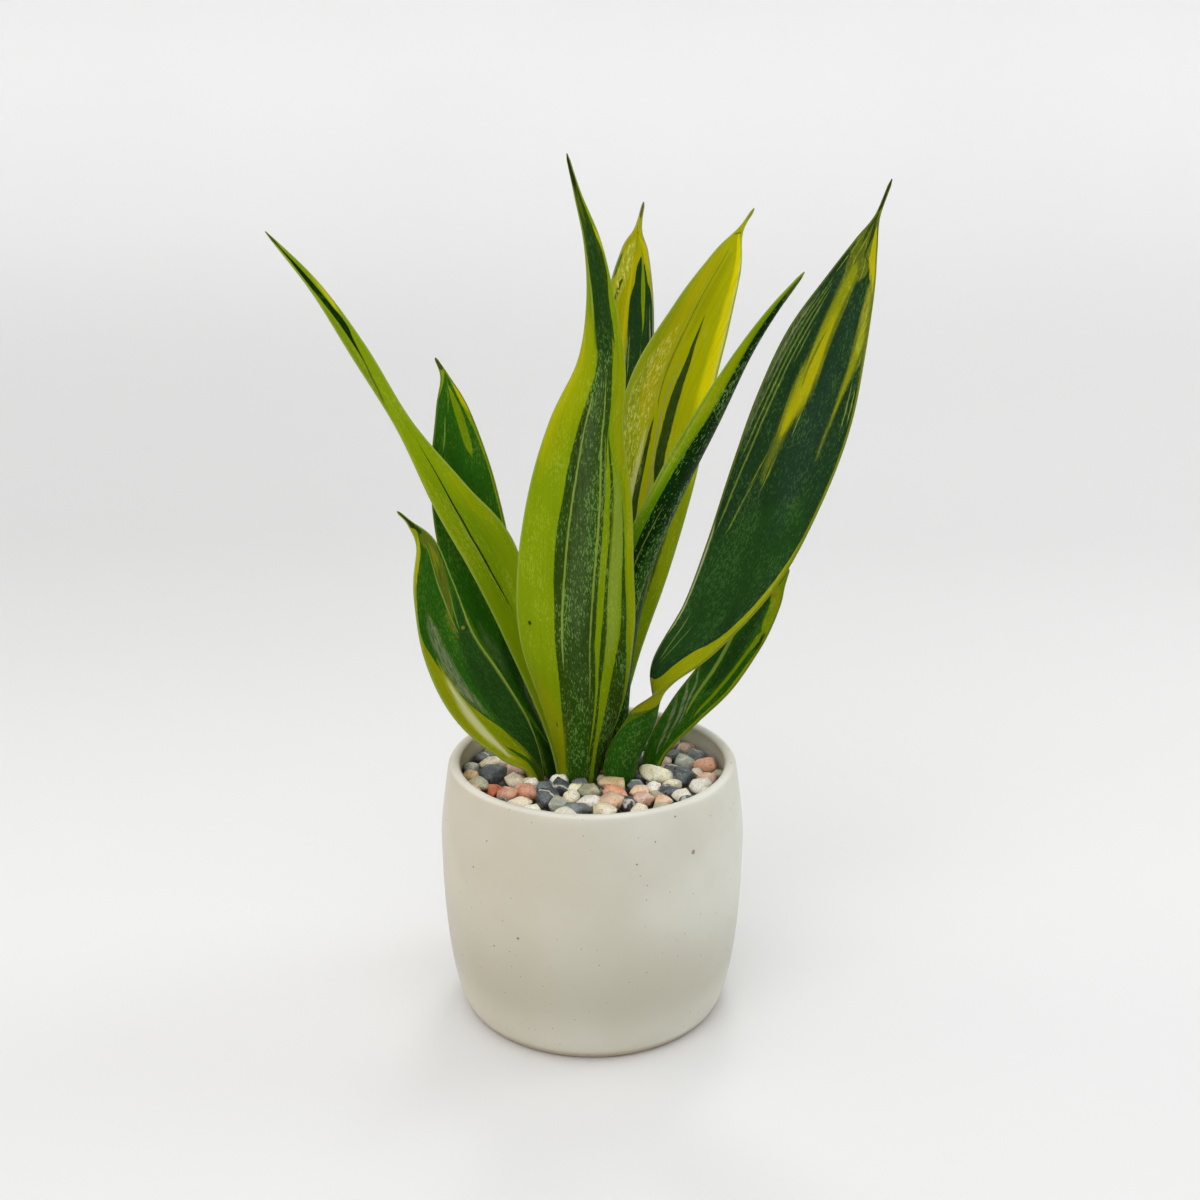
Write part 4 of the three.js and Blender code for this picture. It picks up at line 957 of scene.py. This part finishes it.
def pebblePlaces():
    draw = seededNumbers(bed["fillSeed"])
    feet = bladeFeet()
    pebbles = [list(pebble) for pebble in bed["shown"]]
    dice = random.Random(bed["lookSeed"])
    kinds = [kind for kind, share in bed["kinds"].items() for _ in range(share)]

    def drawn(spread):
        return bed[spread][0] + bed[spread][1] * next(draw)

    for size in bed["fillSizes"]:
        for _ in range(bed["fillTries"]):
            angle = next(draw) * 2 * math.pi
            reach = math.sqrt(next(draw)) * bed["radius"]
            long = size * drawn("longSpread")
            wide = long * drawn("wideSpread")
            turn = next(draw) * 180
            x, y, radius = reach * math.cos(angle), reach * math.sin(angle), (long + wide) / 4
            clear = all(math.hypot(p[0] - x, p[1] - y) > bed["fillOverlap"] * (radius + (p[2] + p[3]) / 4)
                        for p in pebbles)
            offBlades = all(math.hypot(fx - x, fy - y) > radius + bed["clearOfBlades"] for fx, fy in feet)
            if reach + radius * bed["clearOfWall"] < bed["radius"] and clear and offBlades:
                pebbles.append([x, y, long, wide, turn, dice.choice(kinds)])
    placed = []
    for x, y, long, wide, turn, kind in pebbles:
        tall = wide * drawn("tallSpread")
        bottom = bed["bottom"] + bed["restSpread"] * next(draw)
        pull = min(1.0, (bed["radius"] - bed["wallShare"] * (long + wide) / 2) / math.hypot(x, y))
        placed.append((x * pull, y * pull, bottom + tall / 2, long, wide, tall, turn, kind))
    return placed, dice, kinds


# A lower layer that closes the gaps between the pebbles on top; its stones are darkened as painted shade
def lowerPlaces(dice, kinds):
    placed = []
    step = bed["lowStep"]
    count = int(bed["radius"] // step) + 1
    tall = bed["lowTop"] - bed["lowBottom"]
    for i in range(-count, count + 1):
        for j in range(-count, count + 1):
            x = (i + 0.5 * (j % 2)) * step + dice.uniform(-1, 1)
            y = j * step * bed["lowRow"] + dice.uniform(-1, 1)
            if math.hypot(x, y) < bed["radius"] - bed["lowMargin"]:
                size = dice.uniform(*bed["lowSizes"])
                placed.append((x, y, bed["lowBottom"] + tall / 2, size, size * bed["lowWide"], tall,
                               dice.uniform(0, 180), dice.choice(kinds)))
    return placed


# The modifiers' result becomes the mesh of the piece
def convert(piece, name):
    bpy.context.view_layer.update()
    mesh = bpy.data.meshes.new_from_object(piece.evaluated_get(bpy.context.evaluated_depsgraph_get()))
    mesh.name = name
    piece.modifiers.clear()
    piece.data = mesh
    return piece


# A tumbled stone: the hull of points on a spiral, rounded, and fitted to a box one unit wide
def stoneShape(name, seed, levels):
    dice = random.Random(seed)
    corners = bed["corners"]
    work = bmesh.new()
    for i in range(corners):
        height = 1 - 2 * (i + 0.5) / corners
        angle = i * bed["spiral"] + dice.uniform(-bed["spiralSway"], bed["spiralSway"])
        flat = math.sqrt(1 - height * height)
        size = dice.uniform(*bed["swell"])
        work.verts.new((math.cos(angle) * flat * size, math.sin(angle) * flat * size, height * size))
    bmesh.ops.convex_hull(work, input=work.verts)
    crease = work.edges.layers.float.new("crease_edge")
    for edge in work.edges:
        edge[crease] = dice.uniform(*bed["creases"])
    mesh = bpy.data.meshes.new(name)
    work.to_mesh(mesh)
    work.free()
    shape = newPiece(name, mesh)
    smoother = shape.modifiers.new("round", "SUBSURF")
    smoother.levels = smoother.render_levels = levels
    convert(shape, name)
    places = np.array([corner.co for corner in shape.data.vertices])
    low, high = places.min(0), places.max(0)
    shape.data.vertices.foreach_set("co", ((places - (low + high) / 2) / (high - low)).ravel())
    shape.data.shade_smooth()
    return shape


# A new geometry tree with its input sockets by name, their identifiers, and its first node
def geometryTree(name, inputs):
    tree = bpy.data.node_groups.new(name, "GeometryNodeTree")
    tree.interface.new_socket(name="Geometry", in_out="INPUT", socket_type="NodeSocketGeometry")
    tree.interface.new_socket(name="Geometry", in_out="OUTPUT", socket_type="NodeSocketGeometry")
    sockets = {}
    for label, kind in inputs.items():
        made = tree.interface.new_socket(name=label, in_out="INPUT", socket_type="NodeSocket" + kind)
        sockets[label] = made.identifier
    return tree, sockets, addNode(tree, "NodeGroupInput").outputs


def dressAndEnd(tree, geometry, material):
    dressed = addNode(tree, "GeometryNodeSetMaterial", {"Geometry": geometry, "Material": material})
    tree.links.new(dressed.outputs[0], addNode(tree, "NodeGroupOutput").inputs[0])


def stoneTree():
    tree, sockets, start = geometryTree("pebbleScatter", {
        "Shapes": "Collection", "Wear": "Float", "Stone": "Material"})

    def named(attribute, kind):
        made = addNode(tree, "GeometryNodeInputNamedAttribute", {"Name": attribute}, data_type=kind)
        return made.outputs[0]

    shapes = addNode(tree, "GeometryNodeCollectionInfo", {
        "Collection": start["Shapes"], "Separate Children": True, "Reset Children": True})
    turn = addNode(tree, "FunctionNodeEulerToRotation", {0: named("stoneTurn", "FLOAT_VECTOR")})
    placed = addNode(tree, "GeometryNodeInstanceOnPoints", {
        "Points": start["Geometry"], "Instance": shapes.outputs[0], "Pick Instance": True,
        "Instance Index": named("shapeIndex", "INT"), "Rotation": turn.outputs[0],
        "Scale": named("stoneSize", "FLOAT_VECTOR")})
    real = addNode(tree, "GeometryNodeRealizeInstances", {"Geometry": placed.outputs[0]})
    place = addNode(tree, "GeometryNodeInputPosition").outputs[0]
    dents = addNode(tree, "ShaderNodeTexNoise", {"Vector": place, "Scale": bed["dents"], "Detail": 2.0})
    depth = times(tree, calc(tree, "SUBTRACT", dents.outputs["Fac"], 0.5), start["Wear"])
    normal = addNode(tree, "GeometryNodeInputNormal").outputs[0]
    push = addNode(tree, "ShaderNodeVectorMath", {0: normal, "Scale": depth}, operation="SCALE")
    worn = addNode(tree, "GeometryNodeSetPosition", {"Geometry": real.outputs[0], "Offset": push.outputs[0]})
    dressAndEnd(tree, worn.outputs[0], start["Stone"])
    return tree, sockets


# A layer is its scale, detail, roughness, where it fades in and is full, strength, colour and blend
stoneLook = {
    "layers": {"clouds": (170, 4, 0.6, 0.35, 0.65, 0.75, "#efe9dc", "SOFT_LIGHT"),
               "stain": (110, 4, 0.65, 0.48, 0.62, 0.6, "#8a6a50", "SOFT_LIGHT"),
               "blotch": (380, 3, 0.7, 0.5, 0.62, 0.3, "#a89888", "MULTIPLY"),
               "specks": (1500, 2, 0.5, 0.6, 0.68, 0.55, "#3b3630", "MULTIPLY")},
    "streaks": ((1500, 1500, 160), "#a9aca6", 0.3), "veins": (38, "#e4dfd2", 0.75), "pits": 620,
    "roughness": (0.3, 0.6), "bump": (0.55, 0.5), "coat": (0.35, 0.3),
}


def stoneMaterial():
    look = stoneLook
    material, tree, shader = newMaterial("tumbledStone")
    colour = attributeOf(tree, "stoneColour", "Color")
    seed = attributeOf(tree, "stoneSeed")
    shift = addNode(tree, "ShaderNodeCombineXYZ", {0: seed, 1: seed, 2: seed}).outputs[0]
    own = addNode(tree, "ShaderNodeVectorMath", {0: objectPlace(tree), 1: shift}, operation="ADD").outputs[0]

    noise = {}
    for name, layer in look["layers"].items():
        noise[name], colour = spotLayer(tree, own, colour, *layer)

    # Slaty stones have seeds above a half, and the pale streaks
    scale, hexColour, strength = look["streaks"]
    slaty = ramp(tree, seed, 0.49, 0.51)
    streaks = spots(tree, stretched(tree, own, scale), 1.0, 2.0)
    colour = tint(tree, times(tree, ramp(tree, streaks, 0.52, 0.64, 0.0, strength), slaty), colour, hexColour)

    # Some of the stones have veins
    scale, hexColour, strength = look["veins"]
    veins = addNode(tree, "ShaderNodeTexWave", {
        "Vector": own, "Scale": scale, "Distortion": 9.0, "Detail": 3.0, "Detail Scale": 2.0},
        bands_direction="DIAGONAL").outputs["Fac"]
    veined = ramp(tree, calc(tree, "FRACT", seed, 1.0), 0.55, 0.6, 0.0, strength)
    colour = tint(tree, times(tree, ramp(tree, veins, 0.93, 0.99), veined), colour, hexColour)

    pits = ramp(tree, cells(tree, own, look["pits"])["Distance"], 0.12, 0.3)
    height = scaled(tree, noise["specks"], 0.3, scaled(tree, pits, 0.5, noise["clouds"]))
    coated(shader, *look["coat"])
    roughness = ramp(tree, noise["blotch"], 0.4, 0.65, *look["roughness"])
    return finish(material, tree, shader, colour, roughness, height, look["bump"])


# Each place is a point that carries the size, turn, colour and shape of its stone
def scatterStones(name, placed, levels, seed, tone):
    dice = random.Random(seed)
    shapes = bpy.data.collections.new(name + "Shapes")
    scene.collection.children.link(shapes)
    for i in range(bed["shapes"]):
        shape = stoneShape(f"{name}Shape{i}", seed * 10 + i, levels)
        scene.collection.objects.unlink(shape)
        shapes.objects.link(shape)
    points = bpy.data.meshes.new(name + "Points")
    points.from_pydata([tuple(value * mm for value in p[:3]) for p in placed], [], [])

    def give(attribute, kind, slot, values):
        points.attributes.new(attribute, kind, "POINT").data.foreach_set(slot, values)

    tilt = math.radians(bed["tilt"])
    turns = [value for p in placed for value in (dice.uniform(-tilt, tilt), dice.uniform(-tilt, tilt),
                                                 math.radians(p[6]))]
    tints = []
    for p in placed:
        shade = dice.uniform(*bed["shades"]) * tone
        tints += [channel * shade * dice.uniform(*bed["hues"]) for channel in paint(stones[p[7]])[:3]] + [1.0]
    give("stoneSize", "FLOAT_VECTOR", "vector", [value * mm for p in placed for value in p[3:6]])
    give("stoneTurn", "FLOAT_VECTOR", "vector", turns)
    give("stoneColour", "FLOAT_COLOR", "color", tints)
    give("stoneSeed", "FLOAT", "value",
         [dice.uniform(0.0, 0.5) + (0.5 if p[7] in slatyStones else 0.0) for p in placed])
    give("shapeIndex", "INT", "value", [dice.randrange(bed["shapes"]) for _ in placed])

    piece = newPiece(name, points)
    tree, sockets = scatter
    modifier = piece.modifiers.new("scatter", "NODES")
    modifier.node_group = tree
    modifier[sockets["Shapes"]] = shapes
    modifier[sockets["Wear"]] = bed["wear"] * mm
    modifier[sockets["Stone"]] = tumbled
    convert(piece, name)
    for shape in list(shapes.objects):
        bpy.data.objects.remove(shape)
    bpy.data.collections.remove(shapes)
    return piece


scatter = stoneTree()
tumbled = stoneMaterial()
topPlaces, pebbleDice, pebbleKinds = pebblePlaces()
pebbles = scatterStones("pebbles", topPlaces, levels=2, seed=3, tone=1.4)
lowPlaces = lowerPlaces(pebbleDice, pebbleKinds)
# The lower layer is darkened to 0.42 of its colour, as painted shade in the gaps
underPebbles = scatterStones("underPebbles", lowPlaces, levels=1, seed=7, tone=0.42)
for piece in (pebbles, underPebbles):
    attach(piece, "root")
    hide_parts("pebble_bed")
print("stage: pebbles,", len(topPlaces), "on top")


# Pot: the profile is turned round the vertical axis by Geometry Nodes

pot = {"height": 113.5, "footRadius": 52.0, "bellyRadius": 65.0, "bellyHeight": 82.0, "rimRadius": 61.0,
       "wall": 4.8, "floor": 8.0, "footRoundness": 2.2, "shoulderPower": 1.25, "footSteps": 26,
       "shoulderSteps": 10, "lipSteps": 10, "sides": 144, "weld": 0.002}


def barrelRadius(height, inset, bottom):
    if height < pot["bellyHeight"]:
        drop = (pot["bellyHeight"] - height) / (pot["bellyHeight"] - bottom)
        swell = (1 - drop ** pot["footRoundness"]) ** (1 / pot["footRoundness"])
        return pot["footRadius"] - inset + (pot["bellyRadius"] - pot["footRadius"]) * swell
    rise = (height - pot["bellyHeight"]) / (pot["height"] - pot["bellyHeight"])
    return pot["bellyRadius"] - inset - (pot["bellyRadius"] - pot["rimRadius"]) * rise ** pot["shoulderPower"]


def barrelWall(inset, bottom, top):
    belly, footSteps, shoulderSteps = pot["bellyHeight"], pot["footSteps"], pot["shoulderSteps"]
    heights = [bottom + (belly - bottom) * (1 - math.cos(i / footSteps * math.pi / 2))
               for i in range(footSteps + 1)]
    heights += [belly + (top - belly) * i / shoulderSteps for i in range(1, shoulderSteps + 1)]
    return [(barrelRadius(height, inset, bottom), height) for height in heights]


def potProfile():
    lipRadius = pot["wall"] / 2
    lipBase = pot["height"] - lipRadius
    lipMiddle = pot["rimRadius"] - lipRadius
    lip = []
    for i in range(1, pot["lipSteps"]):
        angle = i / pot["lipSteps"] * math.pi
        lip.append((lipMiddle + lipRadius * math.cos(angle), lipBase + lipRadius * math.sin(angle)))
    inside = barrelWall(pot["wall"], pot["floor"], lipBase)[::-1]
    return [(0.0, 0.0)] + barrelWall(0.0, 0.0, lipBase) + lip + inside + [(0.0, pot["floor"])]


# A sheet with one column for each side of the pot is laid on the profile, column by column
def latheTree(count):
    tree, sockets, start = geometryTree("turnProfile", {"Sides": "Int", "Glaze": "Material"})
    columns = calc(tree, "ADD", start["Sides"], 1.0)
    sheet = addNode(tree, "GeometryNodeMeshGrid", {"Vertices X": columns, "Vertices Y": count})
    index = addNode(tree, "GeometryNodeInputIndex").outputs[0]
    onProfile = calc(tree, "MODULO", index, float(count))
    column = calc(tree, "FLOOR", calc(tree, "DIVIDE", index, float(count)))
    turn = times(tree, calc(tree, "DIVIDE", column, start["Sides"]), 2 * math.pi)
    onLine = addNode(tree, "GeometryNodeSampleIndex", {
        "Geometry": start["Geometry"], "Value": addNode(tree, "GeometryNodeInputPosition").outputs[0],
        "Index": onProfile}, data_type="FLOAT_VECTOR").outputs[0]
    turned = addNode(tree, "ShaderNodeVectorRotate", {"Vector": onLine, "Angle": turn},
                     rotation_type="Z_AXIS")
    shaped = addNode(tree, "GeometryNodeSetPosition", {
        "Geometry": sheet.outputs[0], "Position": turned.outputs[0]})
    merged = addNode(tree, "GeometryNodeMergeByDistance", {
        "Geometry": shaped.outputs[0], "Distance": pot["weld"] * mm})
    real = addNode(tree, "GeometryNodeRealizeInstances", {"Geometry": merged.outputs[0]})
    dressAndEnd(tree, real.outputs[0], start["Glaze"])
    return tree, sockets


# The glaze's material works in metres. A kind of speck is cells per metre, size in cells and strength.
glazeLook = {
    # Painted light and shade: left and right are the darker and the lighter flank, low and inside are painted
    # shade, lip is a painted highlight
    "left": "#ccc5b1", "right": "#d9d9cd", "clouds": (22, 3, 0.5, 0.35, 0.65, 0.3, "#bdb39a"),
    "fine": (900, 3, 0.7, 0.66, 0.72, 0.3, "#a59c84"), "low": ("#a9a48f", 0.5), "foot": ("#c9ad85", 0.25),
    "inside": ("#a08c6c", 0.7), "lip": ("#f2f0e6", 0.55), "mark": ("#8a6a3c", 0.8),
    "markPlace": (0.0405, -0.0488, 0.0925), "speck": "#5c5142",
    "specks": ((150, 0.055, 0.9), (310, 0.075, 0.7), (70, 0.036, 0.9)),
    "roughness": (0.36, 0.48), "bump": (0.18, 0.6), "coat": (0.2, 0.25),
}


def glazeMaterial():
    look = glazeLook
    material, tree, shader = newMaterial("speckledGlaze")
    place = objectPlace(tree)
    x, y, z = splitVector(tree, place)
    # Painted light: the glaze goes from darker on the left flank to lighter and cooler on the right
    colour = mixColour(tree, ramp(tree, x, -0.065, 0.065), paint(look["left"]), paint(look["right"]))
    clouds, colour = spotLayer(tree, place, colour, *look["clouds"])
    # Painted shade: a darker band low on the barrel, where it turns under
    hexColour, strength = look["low"]
    low = times(tree, ramp(tree, z, 0.008, 0.03), ramp(tree, z, 0.03, 0.075, strength, 0.0))
    colour = tint(tree, low, colour, hexColour)
    hexColour, strength = look["foot"]
    colour = tint(tree, ramp(tree, z, 0.0005, 0.005, strength, 0.0), colour, hexColour)

    # Painted shade on the inner wall: browner and darker, and darker again deeper down
    hexColour, strength = look["inside"]
    flat = addNode(tree, "ShaderNodeCombineXYZ", {0: x, 1: y}).outputs[0]
    reach = addNode(tree, "ShaderNodeVectorMath", {0: flat}, operation="LENGTH").outputs["Value"]
    inside = ramp(tree, reach, 0.0555, 0.0575, strength, 0.0)
    colour = tint(tree, times(tree, inside, ramp(tree, z, 0.07, 0.112, 1.0, 0.6)), colour, hexColour)
    _, colour = spotLayer(tree, place, colour, *look["fine"])
    for scale, size, strength in look["specks"]:
        dots = cells(tree, place, scale)
        chosen = ramp(tree, splitColour(tree, dots["Color"])[0], 0.6, 0.62, 0.0, 1.0)
        dot = ramp(tree, dots["Distance"], size * 0.6, size * 1.5, strength, 0.0)
        colour = tint(tree, times(tree, dot, chosen), colour, look["speck"])

    # Painted highlight: a pale line along the top of the rim, on the front half only
    hexColour, strength = look["lip"]
    lip = times(tree, ramp(tree, z, 0.1118, 0.1132), ramp(tree, y, 0.0, -0.03))
    colour = tint(tree, times(tree, lip, strength), colour, hexColour)
    hexColour, strength = look["mark"]
    mark = addNode(tree, "ShaderNodeVectorMath", {0: place, 1: look["markPlace"]}, operation="DISTANCE")
    colour = tint(tree, ramp(tree, mark.outputs["Value"], 0.0009, 0.0013, strength, 0.0), colour, hexColour)
    height = scaled(tree, spots(tree, place, 420.0, 2.0), 0.3, clouds)
    coated(shader, *look["coat"])
    roughness = ramp(tree, clouds, 0.3, 0.7, *look["roughness"])
    return finish(material, tree, shader, colour, roughness, height, look["bump"])


profile = potProfile()
potMesh = bpy.data.meshes.new("potProfile")
potMesh.from_pydata([(radius * mm, 0.0, height * mm) for radius, height in profile],
                    [(i, i + 1) for i in range(len(profile) - 1)], [])
planter = newPiece("planter", potMesh)
lathe, latheSockets = latheTree(len(profile))
turning = planter.modifiers.new("turning", "NODES")
turning.node_group = lathe
turning[latheSockets["Sides"]] = pot["sides"]
turning[latheSockets["Glaze"]] = glazeMaterial()
convert(planter, "planter")
outsideOut(planter.data)
planter.data.shade_smooth()
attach(planter, "root")
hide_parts("pot")
print("stage: pot")


# Soil and rhizome keep their solids and get a material

def soilMaterial():
    material, tree, shader = newMaterial("pottingSoil")
    place = objectPlace(tree)
    crumbs = spots(tree, place, 420.0, 5.0, 0.7)
    colour = mixColour(tree, ramp(tree, crumbs, 0.35, 0.65), paint("#1e1611"), paint("#4a3828"))
    grit = cells(tree, place, 260.0)["Distance"]
    colour = tint(tree, ramp(tree, grit, 0.05, 0.12, 0.5, 0.0), colour, "#8f7f66")
    return finish(material, tree, shader, colour, 0.95, crumbs, (0.9, 1.5))


def rhizomeMaterial():
    material, tree, shader = newMaterial("rootStock")
    place = objectPlace(tree)
    rings = addNode(tree, "ShaderNodeTexWave", {
        "Vector": place, "Scale": 60.0, "Distortion": 4.0, "Detail": 3.0}, bands_direction="Z").outputs["Fac"]
    colour = mixColour(tree, rings, paint("#b98a4e"), paint("#d9b883"))
    strands = stretched(tree, place, (600, 600, 90))
    fibres, colour = spotLayer(tree, strands, colour, 1, 3, 0.5, 0.5, 0.7, 0.5, "#7d5a2e")
    return finish(material, tree, shader, colour, 0.7, calc(tree, "ADD", rings, fibres), (0.5, 0.6))


for node, dress in (("soil", soilMaterial()), ("rhizome", rhizomeMaterial())):
    solid = frame["nodes"][node]
    solid.data.materials.clear()
    solid.data.materials.append(dress)
print("stage: soil and rhizome")
